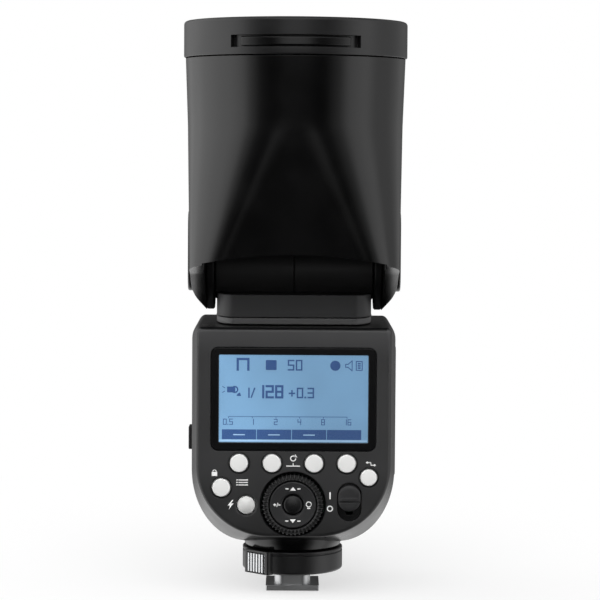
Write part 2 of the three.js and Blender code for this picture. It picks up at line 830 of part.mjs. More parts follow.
// A vertical-sided block that covers a sector centred on the display side.
function backSector(halfAngle, inner, outer, bottom, top) {
  const back = -Math.PI / 2;
  const half = THREE.MathUtils.degToRad(halfAngle);
  const shape = new THREE.Shape();
  shape.absarc(0, HEAD.axisY, outer, back - half, back + half);
  shape.absarc(0, HEAD.axisY, inner, back + half, back - half, true);
  return prism(shape, "z", bottom, top, 14);
}

function rimRing() {
  const { radius, bore, ledge, bottom, top, edge } = RIM;
  const seat = 189.6;
  const ring = turned(
    [
      [ledge, bottom],
      [radius - 0.4, bottom],
      [radius, bottom + 0.4],
      [radius, top - edge],
      [radius - edge, top],
      [bore + 0.6, top],
      [bore, top - 0.6],
      [bore, seat],
      [ledge, seat],
    ],
    80,
    0,
    HEAD.axisY,
  );
  const { halfAngle, depth } = RIM_SLOT;
  return cut(ring, backSector(halfAngle, radius - depth, radius + 2, RIM_SLOT.bottom, RIM_SLOT.top));
}

function rimCatchBar() {
  const { halfAngle, depth, bottom, top } = RIM_SLOT;
  const inner = RIM.radius - depth + GAP;
  return backSector(halfAngle - 5, inner, RIM.radius - 0.5, bottom + 0.4, top - 0.4);
}

function frontLens() {
  const edge = RIM.bore - GAP;
  const profile = [[0, 189.9], [edge, 189.9], [edge, 192], [edge - 2, 192.8], [0, 192.8]];
  return turned(profile, 64, 0, HEAD.axisY);
}

// ---- Zoom mechanism -----------------------------------------------------------------------

function zoomCarriage() {
  const bottom = REFLECTOR.bottom - GAP - 2.4;
  const plate = rod("z", 0, HEAD.axisY, 14, bottom, bottom + 2.4, 20);
  const bridge = box(-31, HEAD.axisY - 4, bottom, 31, HEAD.axisY + 4, bottom + 2.4);
  const bores = mirrored((side) => rod("z", side * ZOOM_GUIDE_X, HEAD.axisY, 1.9, 140, 190, 10));
  return cut(join(plate, bridge), bores);
}

// The bowl behind the flash tube, open at the top and at its throat.
function reflectorBowl() {
  const { bottom, height, mouth, throat, wall } = REFLECTOR;
  const steps = 6;
  const outside = [];
  for (let i = 0; i <= steps; i++) {
    const t = i / steps;
    outside.push([throat + wall + (mouth - throat) * Math.sqrt(t), bottom + height * t]);
  }
  const inside = outside.map(([radius, z]) => [radius - wall, z]).reverse();
  const bowl = turned([...outside, ...inside], 32, 0, HEAD.axisY);
  return cut(bowl, rod("x", HEAD.axisY, FLASH_TUBE_Z, 2.7, -30, 30, 10));
}

function flashTube() {
  return rod("x", HEAD.axisY, FLASH_TUBE_Z, 2.2, -23, 23, 12);
}

function modelingLed() {
  const base = REFLECTOR.bottom;
  return turned(
    [
      [0, base],
      [4.5, base],
      [4.5, base + 1.6],
      [2.5, base + 3],
      [0, base + 3],
    ],
    16,
    0,
    HEAD.axisY,
  );
}

function zoomMotor() {
  const bottom = HEAD.floor + WALL + GAP;
  return rod("z", ZOOM_GUIDE_X - 2, HEAD.axisY, 5.2, bottom, 144, 12);
}

function zoomLeadScrew() {
  return rod("z", ZOOM_GUIDE_X, HEAD.axisY, 1.5, 144.4, 181, 8);
}

function zoomGuideRod() {
  return rod("z", -ZOOM_GUIDE_X, HEAD.axisY, 1.5, HEAD.floor + WALL + GAP, 181, 8);
}

function triggerCoil() {
  return rod("x", -38, 138.5, 4.2, -8, 8, 10);
}

// ---- Assembly -----------------------------------------------------------------------------

place(body, "rear_cover", rearCover(), matteBlack());
place(body, "front_cover", frontCover(), satinBlack());
place(body, "af_assist_window", assistWindow(), darkRed());
place(body, "lcd_window", lcdWindow(), clearGlass());
place(body, "lcd_module", lcdModule(), displayBlue());
place(body, "control_board", controlBoard(), circuitGreen());
place(body, "main_board", mainBoard(), circuitGreen());
place(body, "main_capacitor", mainCapacitor(), softBlack());
place(body, "swivel_bearing_ring", bearingRing(), steel());
place(body, "usb_socket", usbSocket(), steel());
place(body, "sync_jack", syncJack(), steel());
place(body, "battery_pack", batteryPack(), softBlack());
place(body, "battery_end_cap", batteryEndCap(), satinBlack());
place(body, "battery_latch", batteryLatch(), matteBlack());
place(body, "port_door", portDoor(), softBlack());

for (const [name, x, z, radius] of buttonPlaces) {
  place(controls, name, pushButton(radius), buttonGrey(), x, 0, z);
}
place(controls, "dial_ring", dialRing(), satinBlack());
place(controls, "four_way_pad", fourWayPad(), matteBlack());
place(controls, "pad_gimbal", padGimbal(), steel());
place(controls, "set_button", setButton(), satinBlack());
place(controls, "power_switch", powerSwitch(), satinBlack());

place(foot, "foot_collar", footCollar(), satinBlack());
place(foot, "lock_ring", lockRing(), satinBlack());
place(foot, "release_button", releaseButton(), chrome());
place(foot, "shoe_foot", shoeFoot(), steel());
place(foot, "lock_pin", lockPin(), steel());
pinPlaces.forEach(([x, y, size], i) => {
  place(foot, "contact_pin_" + (i + 1), contactPin(size), chrome(), x, y);
});

place(neck, "neck_base_plate", neckBasePlate(), satinBlack());
place(neck, "neck_block", neckBlock(), matteBlack());
place(neck, "hinge_barrel_left", hingeBarrel(-1), softBlack());
place(neck, "hinge_barrel_right", hingeBarrel(1), softBlack());
place(neck, "swivel_tube", swivelTube(), steel());

place(head, "head_housing", headHousing(), satinBlack());
place(head, "side_cap_left", sideCap(-1), satinBlack());
place(head, "side_cap_right", sideCap(1), satinBlack());
place(head, "tilt_hub_left", tiltHub(-1), softBlack());
place(head, "tilt_hub_right", tiltHub(1), softBlack());
place(head, "tilt_axle", tiltAxle(), steel());
place(head, "rim_ring", rimRing(), matteBlack());
place(head, "rim_catch_bar", rimCatchBar(), satinBlack());
place(head, "front_lens", frontLens(), clearGlass());
place(head, "zoom_carriage", zoomCarriage(), softBlack());
place(head, "reflector", reflectorBowl(), silver());
place(head, "flash_tube", flashTube(), clearGlass());
place(head, "modeling_led", modelingLed(), clearGlass());
place(head, "zoom_motor", zoomMotor(), steel());
place(head, "zoom_lead_screw", zoomLeadScrew(), steel());
place(head, "zoom_guide_rod", zoomGuideRod(), steel());
place(head, "trigger_coil", triggerCoil(), softBlack());

export default flash;
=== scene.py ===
import math

import bmesh
import bpy
from mathutils import Matrix, Vector


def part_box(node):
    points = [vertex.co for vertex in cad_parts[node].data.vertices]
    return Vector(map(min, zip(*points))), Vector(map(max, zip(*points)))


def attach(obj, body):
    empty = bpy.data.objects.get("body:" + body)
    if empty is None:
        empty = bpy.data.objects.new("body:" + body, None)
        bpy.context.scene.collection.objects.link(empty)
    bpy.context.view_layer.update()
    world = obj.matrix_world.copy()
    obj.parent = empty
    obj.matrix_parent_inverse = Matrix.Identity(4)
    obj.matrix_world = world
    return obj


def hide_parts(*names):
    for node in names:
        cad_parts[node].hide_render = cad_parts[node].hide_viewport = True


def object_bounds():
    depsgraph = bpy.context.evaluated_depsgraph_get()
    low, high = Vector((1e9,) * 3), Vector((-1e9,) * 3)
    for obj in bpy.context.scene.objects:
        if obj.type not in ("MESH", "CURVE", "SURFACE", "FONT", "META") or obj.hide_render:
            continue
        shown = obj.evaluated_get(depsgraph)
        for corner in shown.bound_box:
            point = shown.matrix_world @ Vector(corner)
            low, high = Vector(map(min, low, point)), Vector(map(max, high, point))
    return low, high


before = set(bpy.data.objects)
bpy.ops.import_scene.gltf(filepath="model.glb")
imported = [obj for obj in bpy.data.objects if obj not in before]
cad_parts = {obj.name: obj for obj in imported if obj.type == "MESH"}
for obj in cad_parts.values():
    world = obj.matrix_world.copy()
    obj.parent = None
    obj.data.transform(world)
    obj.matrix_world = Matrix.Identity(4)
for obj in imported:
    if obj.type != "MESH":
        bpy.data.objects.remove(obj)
cad_box = [list(corner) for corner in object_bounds()]

# A round-head camera flash on a hot-shoe foot. Every length in this script is in millimetres, in
# the frame of the CAD: +Z is up, -Y is the display side, and the head points up at rest.
MM = 0.001
GAP = 0.3  # clearance between neighbouring pieces


# ---- Places taken from the frame ----------------------------------------------------------

class Place:
    """A CAD node's box at rest."""

    def __init__(self, node):
        low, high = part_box(node)
        self.low = low / MM
        self.high = high / MM
        self.mid = (self.low + self.high) / 2
        self.size = self.high - self.low


REAR = Place("rear_cover")
FRONT = Place("front_cover")
HEAD = Place("head_housing")
RIM = Place("rim_ring")
DIAL = Place("dial_ring")
WINDOW = Place("lcd_window")
BODY_BACK = REAR.low.y
BODY_TOP = REAR.high.z
RIM_Y = RIM.mid.y
TILT = Place("tilt_axle").mid


# ---- Outlines -----------------------------------------------------------------------------

def arc(u, v, width, height, start, end, steps):
    """Points along an ellipse about (u, v), from one angle to another, in degrees."""
    points = []
    for i in range(steps + 1):
        angle = math.radians(start + (end - start) * i / steps)
        points.append((u + width * math.cos(angle), v + height * math.sin(angle)))
    return points


def rounded(corners, steps=6):
    """A closed outline, counter-clockwise through corners (u, v, radius)."""
    points = []
    for i, (u, v, radius) in enumerate(corners):
        corner = Vector((u, v))
        back = (Vector(corners[i - 1][:2]) - corner).normalized()
        ahead = (Vector(corners[(i + 1) % len(corners)][:2]) - corner).normalized()
        half = math.acos(max(-1, min(1, back.dot(ahead)))) / 2
        if radius == 0:
            points.append((u, v))
            continue
        start = corner + back * (radius / math.tan(half))
        end = corner + ahead * (radius / math.tan(half))
        centre = corner + (back + ahead).normalized() * (radius / math.sin(half))
        first = math.degrees(math.atan2(*(start - centre).yx))
        last = math.degrees(math.atan2(*(end - centre).yx))
        turn = back.x * ahead.y - back.y * ahead.x
        if turn < 0 and last < first:
            last += 360
        if turn > 0 and last > first:
            last -= 360
        points += arc(*centre, radius, radius, first, last, steps)
    return points


def rectangle(left, bottom, right, top, radius=0.0, steps=6):
    corners = [(left, bottom), (right, bottom), (right, top), (left, top)]
    return rounded([(u, v, radius) for u, v in corners], steps)


def circle(u, v, radius, steps=48):
    return arc(u, v, radius, radius, 0, 360, steps)[:-1]


def grown(node, axes, margin=0.0):
    """Left, bottom, right, top of a CAD node's box seen along the axis that isn't named."""
    place = Place(node)
    a, b = axes
    low, high = place.low, place.high
    return low[a] - margin, low[b] - margin, high[a] + margin, high[b] + margin


# ---- Meshes -------------------------------------------------------------------------------

def put(axis, u, v, along):
    """A point of an outline: (y, z) for axis x, (x, z) for y, (x, y) for z."""
    if axis == "x":
        return Vector((along, u, v))
    if axis == "y":
        return Vector((u, along, v))
    return Vector((u, v, along))


def mesh_object(name, points, faces):
    mesh = bpy.data.meshes.new(name)
    mesh.from_pydata([Vector(point) * MM for point in points], [], faces)
    work = bmesh.new()
    work.from_mesh(mesh)
    bmesh.ops.remove_doubles(work, verts=work.verts, dist=0.001 * MM)
    bmesh.ops.recalc_face_normals(work, faces=work.faces)
    work.to_mesh(mesh)
    work.free()
    made = bpy.data.objects.new(name, mesh)
    bpy.context.scene.collection.objects.link(made)
    return made


def loft(name, rings, closed=False):
    """A skin over rings of equally many points: capped at both ends, or closed on itself."""
    count = len(rings[0])
    levels = len(rings)
    faces = []
    for level in range(levels if closed else levels - 1):
        above = (level + 1) % levels * count
        for i in range(count):
            j = (i + 1) % count
            faces.append((level * count + i, level * count + j, above + j, above + i))
    if not closed:
        faces.append(tuple(reversed(range(count))))
        faces.append(tuple(range((levels - 1) * count, levels * count)))
    return mesh_object(name, [point for ring in rings for point in ring], faces)


def prism(name, outline, axis, start, end):
    rings = [[put(axis, u, v, along) for u, v in outline] for along in (start, end)]
    return loft(name, rings)


def turned(name, profile, axis, u, v, steps=64, solid=True):
    """A profile of (radius, along) corners turned about a line through (u, v)."""
    rings = []
    for radius, along in profile:
        ring = circle(u, v, max(radius, 0), steps)
        rings.append([put(axis, *point, along) for point in ring])
    on_axis = profile[0][0] == 0 and profile[-1][0] == 0
    made = loft(name, rings, closed=not on_axis)
    if on_axis and solid:
        drop_flat_ends(made)
    return made


def drop_flat_ends(made):
    """Takes away the faces of no size that a profile's ends leave on its axis."""
    work = bmesh.new()
    work.from_mesh(made.data)
    bmesh.ops.dissolve_degenerate(work, dist=0.001 * MM, edges=work.edges)
    bmesh.ops.recalc_face_normals(work, faces=work.faces)
    work.to_mesh(made.data)
    work.free()


def carve(made, tools, operation="DIFFERENCE"):
    for tool in tools:
        change = made.modifiers.new("carve", "BOOLEAN")
        change.object = tool
        change.operation = operation
        change.solver = "EXACT"
    applied(made)
    for tool in tools:
        bpy.data.objects.remove(tool)
    return made


def applied(made):
    bpy.context.view_layer.update()
    graph = bpy.context.evaluated_depsgraph_get()
    mesh = bpy.data.meshes.new_from_object(made.evaluated_get(graph))
    made.modifiers.clear()
    made.data = mesh
    return made


def soften(made, width, segments=3, angle=35):
    """Rounds the sharp edges."""
    bevel = made.modifiers.new("soft edges", "BEVEL")
    bevel.width = width * MM
    bevel.segments = segments
    bevel.limit_method = "ANGLE"
    bevel.angle_limit = math.radians(angle)
    bevel.miter_outer = "MITER_ARC"
    return made


def smooth(made, angle=35):
    made.data.shade_smooth()
    made.data.set_sharp_from_angle(angle=math.radians(angle))
    weighted = made.modifiers.new("flat faces stay flat", "WEIGHTED_NORMAL")
    weighted.keep_sharp = True
    weighted.weight = 80
    return made


def fit(made, body, slot, nodes, *materials):
    """Smooths and paints a piece, and fixes it to its CAD body in place of its CAD nodes."""
    made.data.materials.clear()
    for material in materials:
        made.data.materials.append(material)
    smooth(made)
    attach(made, body)
    if nodes:
        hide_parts(*nodes)
    return made


def one_mesh(name, parts):
    """Joins several solids that don't touch into one object."""
    work = bmesh.new()
    for part in parts:
        work.from_mesh(part.data)
    mesh = bpy.data.meshes.new(name)
    work.to_mesh(mesh)
    work.free()
    for part in parts:
        bpy.data.objects.remove(part)
    made = bpy.data.objects.new(name, mesh)
    bpy.context.scene.collection.objects.link(made)
    return made


# ---- Materials ----------------------------------------------------------------------------

class Graph:
    """A small helper for building node trees."""

    def __init__(self, tree):
        self.tree = tree
        tree.nodes.clear()

    def node(self, kind, **values):
        made = self.tree.nodes.new("ShaderNode" + kind)
        for key, value in values.items():
            setattr(made, key, value)
        return made

    def link(self, source, target):
        self.tree.links.new(source, target)

    def value(self, operation, first, second=None, clamp=False):
        made = self.node("Math", operation=operation, use_clamp=clamp)
        for i, item in enumerate((first, second)):
            if item is None:
                continue
            if isinstance(item, (int, float)):
                made.inputs[i].default_value = item
            else:
                self.link(item, made.inputs[i])
        return made.outputs[0]

    def noise(self, coordinates, size, detail=2.0, stretch=None):
        """Noise with features of about this size, stretched along an axis if asked."""
        if stretch:
            mapping = self.node("Mapping")
            mapping.inputs["Scale"].default_value = stretch
            self.link(coordinates, mapping.inputs["Vector"])
            coordinates = mapping.outputs[0]
        made = self.node("TexNoise")
        made.inputs["Scale"].default_value = 1 / (size * MM)
        made.inputs["Detail"].default_value = detail
        self.link(coordinates, made.inputs["Vector"])
        return made.outputs["Fac"]

    def ramp(self, source, stops, start, end):
        """A smooth curve through (position, value) stops between two ends."""
        made = self.node("ValToRGB")
        curve = made.color_ramp
        curve.interpolation = "EASE"
        while len(curve.elements) > 1:
            curve.elements.remove(curve.elements[-1])
        for i, (position, number) in enumerate(stops):
            place = (position - start) / (end - start)
            stop = curve.elements[0] if i == 0 else curve.elements.new(place)
            stop.position = place
            stop.color = (number, number, number, 1)
        along = self.value("DIVIDE", self.value("SUBTRACT", source, start), end - start)
        self.link(along, made.inputs[0])
        return made.outputs[0]

    def spread(self, source, low, high, start=0.0, end=1.0):
        made = self.node("MapRange", interpolation_type="SMOOTHSTEP")
        for key, number in (("From Min", start), ("From Max", end), ("To Min", low), ("To Max", high)):
            made.inputs[key].default_value = number
        self.link(source, made.inputs["Value"])
        return made.outputs["Result"]


def coloured(rgb, factor=1.0):
    return (*(min(1, channel * factor) for channel in rgb), 1)


def surface(name, rgb, roughness, metallic=0.0, grain=0.25, depth=0.012, wear=1.5, rounding=0.3,
            variation=0.12, coat=0.0, shine=0.5, brushed=None, painted_shade_by_height=None):
    """A procedural finish: drifting colour, uneven gloss, a fine grain and paler worn edges.

    A list of (height, share of the colour) stops paints shade into the colour: painted shade that darkens it
    lower down.
    """
    material = bpy.data.materials.new(name)
    material.use_nodes = True
    graph = Graph(material.node_tree)
    place = graph.node("TexCoord").outputs["Object"]
    drift = graph.noise(place, 14, 3)
    fine = graph.noise(place, grain, 3, brushed)

    paint = graph.node("Mix", data_type="RGBA")
    paint.inputs["A"].default_value = coloured(rgb, 1 - variation)
    paint.inputs["B"].default_value = coloured(rgb, 1 + variation)
    graph.link(drift, paint.inputs["Factor"])

    bevel = graph.node("Bevel", samples=4)
    bevel.inputs["Radius"].default_value = rounding * MM
    normal = graph.node("NewGeometry").outputs["Normal"]
    agreement = graph.node("VectorMath", operation="DOT_PRODUCT")
    graph.link(bevel.outputs[0], agreement.inputs[0])
    graph.link(normal, agreement.inputs[1])
    worn = graph.spread(agreement.outputs["Value"], 1, 0, 0.7, 0.98)
    patchy = graph.value("MULTIPLY", worn, graph.spread(drift, 0.2, 1, 0.35, 0.65))
    edge = graph.node("Mix", data_type="RGBA")
    edge.inputs["B"].default_value = coloured(rgb, wear)
    graph.link(patchy, edge.inputs["Factor"])
    graph.link(paint.outputs["Result"], edge.inputs["A"])

    colour = edge.outputs["Result"]
    # Painted shade: the colour is multiplied by a ramp over height, so the surface is darker lower down.
    if painted_shade_by_height:
        height = graph.node("SeparateXYZ")
        graph.link(place, height.inputs[0])
        level = graph.ramp(height.outputs["Z"], [(z * MM, part) for z, part in painted_shade_by_height], 0, 0.1)
        painted_shade_mix = graph.node("Mix", data_type="RGBA", blend_type="MULTIPLY")
        painted_shade_mix.inputs["Factor"].default_value = 1
        graph.link(colour, painted_shade_mix.inputs["A"])
        graph.link(level, painted_shade_mix.inputs["B"])
        colour = painted_shade_mix.outputs["Result"]

    bump = graph.node("Bump")
    bump.inputs["Strength"].default_value = 1
    bump.inputs["Distance"].default_value = depth * MM
    graph.link(fine, bump.inputs["Height"])
    graph.link(bevel.outputs[0], bump.inputs["Normal"])

    gloss = graph.node("BsdfPrincipled")
    gloss.inputs["Metallic"].default_value = metallic
    gloss.inputs["Coat Weight"].default_value = coat
    gloss.inputs["Specular IOR Level"].default_value = shine
    graph.link(colour, gloss.inputs["Base Color"])
    graph.link(graph.spread(drift, roughness * 0.88, min(1, roughness * 1.12), 0.3, 0.7),
               gloss.inputs["Roughness"])
    graph.link(bump.outputs[0], gloss.inputs["Normal"])
    out = graph.node("OutputMaterial")
    graph.link(gloss.outputs[0], out.inputs["Surface"])
    return material


def clear_plastic(name, rgb, clarity):
    """A clear cover: it lets light straight through and reflects a little."""
    material = bpy.data.materials.new(name)
    material.use_nodes = True
    graph = Graph(material.node_tree)
    through = graph.node("BsdfTransparent")
    through.inputs["Color"].default_value = (*rgb, 1)
    shine = graph.node("BsdfPrincipled")
    shine.inputs["Base Color"].default_value = coloured(rgb, 0.5)
    place = graph.node("TexCoord").outputs["Object"]
    graph.link(graph.spread(graph.noise(place, 9, 3), 0.05, 0.12, 0.3, 0.7), shine.inputs["Roughness"])
    facing = graph.node("Fresnel")
    facing.inputs["IOR"].default_value = 1.45
    reflecting = graph.value("ADD", graph.value("MULTIPLY", facing.outputs[0], 0.9), 1 - clarity, clamp=True)
    both = graph.node("MixShader")
    graph.link(reflecting, both.inputs[0])
    graph.link(through.outputs[0], both.inputs[1])
    graph.link(shine.outputs[0], both.inputs[2])
    out = graph.node("OutputMaterial")
    graph.link(both.outputs[0], out.inputs["Surface"])
    return material


def lit(name, rgb, glow):
    """A back-lit liquid-crystal area with a fine dot grid, brighter on the left."""
    material = bpy.data.materials.new(name)
    material.use_nodes = True
    graph = Graph(material.node_tree)
    place = graph.node("TexCoord").outputs["Object"]
    dots = graph.noise(place, 0.35, 1)
    cloud = graph.noise(place, 30, 2)
    shade = graph.value("MULTIPLY", graph.spread(cloud, 0.88, 1.1, 0.3, 0.7),
                        graph.spread(dots, 0.96, 1.04))
    gloss = graph.node("BsdfPrincipled")
    gloss.inputs["Base Color"].default_value = coloured(rgb, 0.35)
    gloss.inputs["Emission Color"].default_value = (*rgb, 1)
    gloss.inputs["Roughness"].default_value = 0.5
    across = graph.node("SeparateXYZ")
    graph.link(place, across.inputs[0])
    slope = graph.ramp(across.outputs["X"], [(-26 * MM, 1), (26 * MM, 0.72)], -26 * MM, 26 * MM)
    graph.link(graph.value("MULTIPLY", graph.value("MULTIPLY", shade, glow), slope),
               gloss.inputs["Emission Strength"])
    out = graph.node("OutputMaterial")
    graph.link(gloss.outputs[0], out.inputs["Surface"])
    return material


SATIN = surface("satin_black", (0.003, 0.003, 0.0032), 0.21, grain=0.3, depth=0.002, wear=2.5)
SATIN_BODY = surface("satin_black_body", (0.009, 0.009, 0.0095), 0.3, grain=0.35, depth=0.006, wear=2)
RIM_BLACK = surface("rim_black", (0.008, 0.008, 0.0085), 0.32, grain=0.3, depth=0.004, wear=2.2)
# The matte black carries painted shade: its colour is darkened towards the bottom of the panel, about half
# across the middle and full only at the top edge.
MATTE = surface("matte_black", (0.06, 0.06, 0.062), 0.5, grain=0.3, depth=0.008, wear=1.6, rounding=0.4,
                painted_shade_by_height=[(0, 0.1), (19, 0.12), (31, 0.28), (48, 0.44), (82, 0.46), (97, 1)])
BARREL_BLACK = surface("barrel_black", (0.034, 0.034, 0.035), 0.5, grain=0.4, depth=0.01, wear=1.4)
PLATE_BLACK = surface("neck_plate_black", (0.075, 0.075, 0.076), 0.45, grain=0.3, depth=0.005, wear=1.8)
PAD_BLACK = surface("pad_black", (0.018, 0.018, 0.019), 0.45, grain=0.3, depth=0.006, wear=1.8)
NECK_BLACK = surface("neck_black", (0.042, 0.042, 0.043), 0.45, grain=0.3, depth=0.006, wear=1.8,
                     rounding=0.4,
                     shine=0.15)
SOFT = surface("soft_black", (0.008, 0.008, 0.009), 0.62, grain=0.5, depth=0.02, wear=1.6)
GLOSS = surface("gloss_black", (0.008, 0.008, 0.0085), 0.08, grain=1.5, depth=0.0005, wear=1.4,
                rounding=0.25)
GREY = surface("button_grey", (0.74, 0.74, 0.73), 0.48, grain=0.22, depth=0.02, wear=1.25, variation=0.06)
LAMP_GREY = surface("test_button_grey", (0.6, 0.6, 0.59), 0.16, grain=0.4, depth=0.004, wear=1.3, coat=0.6)
PRINT = surface("white_print", (0.85, 0.85, 0.84), 0.6, grain=0.2, depth=0.004, wear=1, variation=0.05)
STEEL = surface("plated_steel", (0.46, 0.465, 0.47), 0.34, 1, grain=0.4, depth=0.006, wear=1.4,
                brushed=(0.15, 1, 1))
CHROME = surface("chrome", (0.62, 0.63, 0.64), 0.2, 1, grain=0.5, depth=0.003, wear=1.2)
BRASS = surface("contact_brass", (0.6, 0.5, 0.3), 0.28, 1, grain=0.4, depth=0.004, wear=1.2)
BOARD = surface("circuit_board", (0.02, 0.09, 0.045), 0.45, grain=0.8, depth=0.03, wear=1.3)
DARK_RED = surface("red_window", (0.05, 0.002, 0.003), 0.1, grain=1.2, depth=0.001, wear=1.5, coat=0.5)
MIRROR = surface("mirror_bowl", (0.8, 0.81, 0.82), 0.12, 1, grain=1.4, depth=0.02, wear=1.05,
                 variation=0.04)
BATTERY_CASE = surface("battery_case", (0.014, 0.014, 0.015), 0.55, grain=0.6, depth=0.02, wear=1.6)
GLASS = clear_plastic("clear_window", (0.95, 0.97, 0.98), 0.97)
TUBE_GLASS = clear_plastic("tube_glass", (0.9, 0.93, 0.95), 0.8)
LED = surface("led_yellow", (0.75, 0.6, 0.12), 0.35, grain=0.5, depth=0.01, wear=1.2)
LCD_BLUE = lit("display", (0.204, 0.384, 0.59), 1.08)
LCD_DARK = lit("display_ink", (0.034, 0.1, 0.29), 0.9)
LCD_PALE = lit("display_line", (0.36, 0.55, 0.76), 1.1)


# ---- Head ---------------------------------------------------------------------------------

HEAD_FOOT = 92.0
HEAD_SQUARE_BELOW = 116.0
HEAD_ROUND_ABOVE = 163.0  # from here the display side is a half circle
HEAD_FRONT_SWELLS = 155.0  # above this height the front grows out to the round rim
HEAD_FLOOR = 131.0
HEAD_TOP = HEAD.high.z
HEAD_RADIUS = 37.4
HEAD_HALF_WIDTH = 35.2
HEAD_BACK = -48.0
HEAD_FRONT = 17.0
BACK_CORNER = 12.5
FRONT_CORNER = 6.0
WALL = 2.2
EAR_RADIUS = 14.8
EAR_INNER = 30.5
ROUND_STEPS = 20


def share(value, start, end):
    return max(0.0, min(1.0, (value - start) / (end - start)))


def mix(start, end, t):
    return start + (end - start) * t


def head_section(z, inset):
    """The head's section: a rounded square low down that becomes a circle at the rim."""
    t = share(z, HEAD_SQUARE_BELOW, HEAD_TOP)
    front_t = share(z, HEAD_FRONT_SWELLS, HEAD_TOP)
    half = mix(HEAD_HALF_WIDTH, HEAD_RADIUS, t) - inset
    back = mix(HEAD_BACK, RIM_Y - HEAD_RADIUS, t) + inset
    front = mix(HEAD_FRONT, RIM_Y + HEAD_RADIUS, front_t) - inset
    roundest = HEAD_RADIUS - 0.2
    back_t = share(z, HEAD_SQUARE_BELOW, HEAD_ROUND_ABOVE)
    r_back = min(mix(BACK_CORNER, roundest, back_t) - inset, half - 0.2)
    r_front = mix(FRONT_CORNER, roundest, t) - inset
    plan = arc(half - r_back, back + r_back, r_back, r_back, 270, 360, ROUND_STEPS)
    plan += arc(half - r_front, front - r_front, r_front, r_front, 0, 90, ROUND_STEPS)
    plan += arc(-half + r_front, front - r_front, r_front, r_front, 90, 180, ROUND_STEPS)
    plan += arc(-half + r_back, back + r_back, r_back, r_back, 180, 270, ROUND_STEPS)
    return [put("z", x, y, z) for x, y in plan]


def head_loft(name, bottom, top, inset, levels=24):
    heights = [bottom] + [mix(max(bottom, HEAD_SQUARE_BELOW), top, i / levels) for i in range(levels + 1)]
    if bottom >= HEAD_SQUARE_BELOW:
        heights = heights[1:]
    return loft(name, [head_section(z, inset) for z in heights])


def head_side_outline():
    """The head from the side: its lower edge sweeps down into the round ends of the ears."""
    back_y = HEAD_BACK - TILT.y
    step = 3.7
    knee = Vector((-33, -0.6))
    tangent = math.degrees(math.atan2(knee.y, knee.x) + math.acos(EAR_RADIUS / knee.length)) % 360
    outline = [(TILT.y - 70, TILT.z + 100), (TILT.y - 70, TILT.z + step)]
    outline += [(TILT.y + back_y, TILT.z + step), (TILT.y + knee.x, TILT.z + knee.y)]
    outline += arc(TILT.y, TILT.z, EAR_RADIUS, EAR_RADIUS, tangent, 360, 30)
    outline += [(TILT.y + 50, TILT.z + 30), (TILT.y + 50, TILT.z + 100)]
    return outline


def back_arch():
    """What the arched lower edge takes out of the head's back wall."""
    springing = TILT.z + 3.7
    rise = 3.1
    steps = 24
    outline = [(-EAR_INNER, 80), (EAR_INNER, 80)]
    for i in range(steps + 1):
        x = mix(EAR_INNER, -EAR_INNER, i / steps)
        outline.append((x, springing + rise * (1 - (x / EAR_INNER) ** 2)))
    return prism("back_arch", outline, "y", -70, HEAD_BACK + 10)


def cap_outline(side, margin):
    place = Place("side_cap_left")
    radius = place.size.y / 2 + margin - 0.05
    box = grown("side_cap_left", (1, 2), margin)
    return rectangle(*box, radius, 14)


def ear_bevel(side):
    """What the slanted outer corner of an ear's foot leaves out."""
    foot, waist, out = 29.8, HEAD_HALF_WIDTH, 45
    slope = rounded([(waist, 112, 0), (waist, 104, 12), (foot, 96.6, 0), (foot, 80, 0), (out, 80, 0),
                     (out, 112, 0)])
    return prism("ear_bevel", [(side * x, z) for x, z in slope], "y", -60, 40)


def head_housing():
    made = head_loft("head_shell", HEAD_FOOT, HEAD_TOP, 0)
    carve(made, [prism("side", head_side_outline(), "x", -45, 45)], "INTERSECT")
    inner = BACK_CORNER - WALL
    fork = rounded([(-EAR_INNER, HEAD_BACK + WALL, inner), (EAR_INNER, HEAD_BACK + WALL, inner),
                    (EAR_INNER, 60, 0), (-EAR_INNER, 60, 0)])
    cap = Place("side_cap_right")
    tools = [
        head_loft("cavity", HEAD_FLOOR + WALL, HEAD_TOP, WALL, 12),
        prism("mouth", circle(0, RIM_Y, 32.8, 96), "z", HEAD_TOP - 0.5, HEAD_TOP + 5),
        prism("fork", fork, "z", 80, HEAD_FLOOR),
        back_arch(),
        prism("axle_hole", circle(TILT.y, TILT.z, 3.3, 32), "x", -45, 45),
        prism("recess_right", cap_outline(1, GAP), "x", cap.low.x - GAP, 45),
        prism("recess_left", cap_outline(-1, GAP), "x", -45, -cap.low.x + GAP),
        ear_bevel(-1),
        ear_bevel(1),
    ]
    carve(made, tools)
    return fit(made, "head", "satin_black", ["head_housing"], SATIN)


def side_cap(side, node):
    place = Place(node)
    made = prism(node + "_shell", cap_outline(side, 0), "x", place.low.x, place.high.x)
    soften(made, 0.6)
    return fit(made, "head", "satin_black", [node], SATIN)


def tilt_hub(node, outward):
    """A black disc between a hinge barrel and an ear; it meets the ear, which turns with it."""
    place = Place(node)
    low, high = place.low.x, place.high.x
    if outward < 0:
        low -= GAP - 0.02
    else:
        high += GAP - 0.02
    radius = place.size.z / 2
    profile = [(3.3, low), (radius - 0.4, low), (radius, low + 0.4), (radius, high - 0.4),
               (radius - 0.4, high),
               (3.3, high)]
    made = turned(node + "_disc", profile, "x", TILT.y, TILT.z, 96)
    return fit(made, "head", "soft_black", [node], SOFT)


def sector(half_angle, inner, outer, steps=40):
    outline = arc(0, RIM_Y, outer, outer, 270 - half_angle, 270 + half_angle, steps)
    return outline + arc(0, RIM_Y, inner, inner, 270 + half_angle, 270 - half_angle, steps)


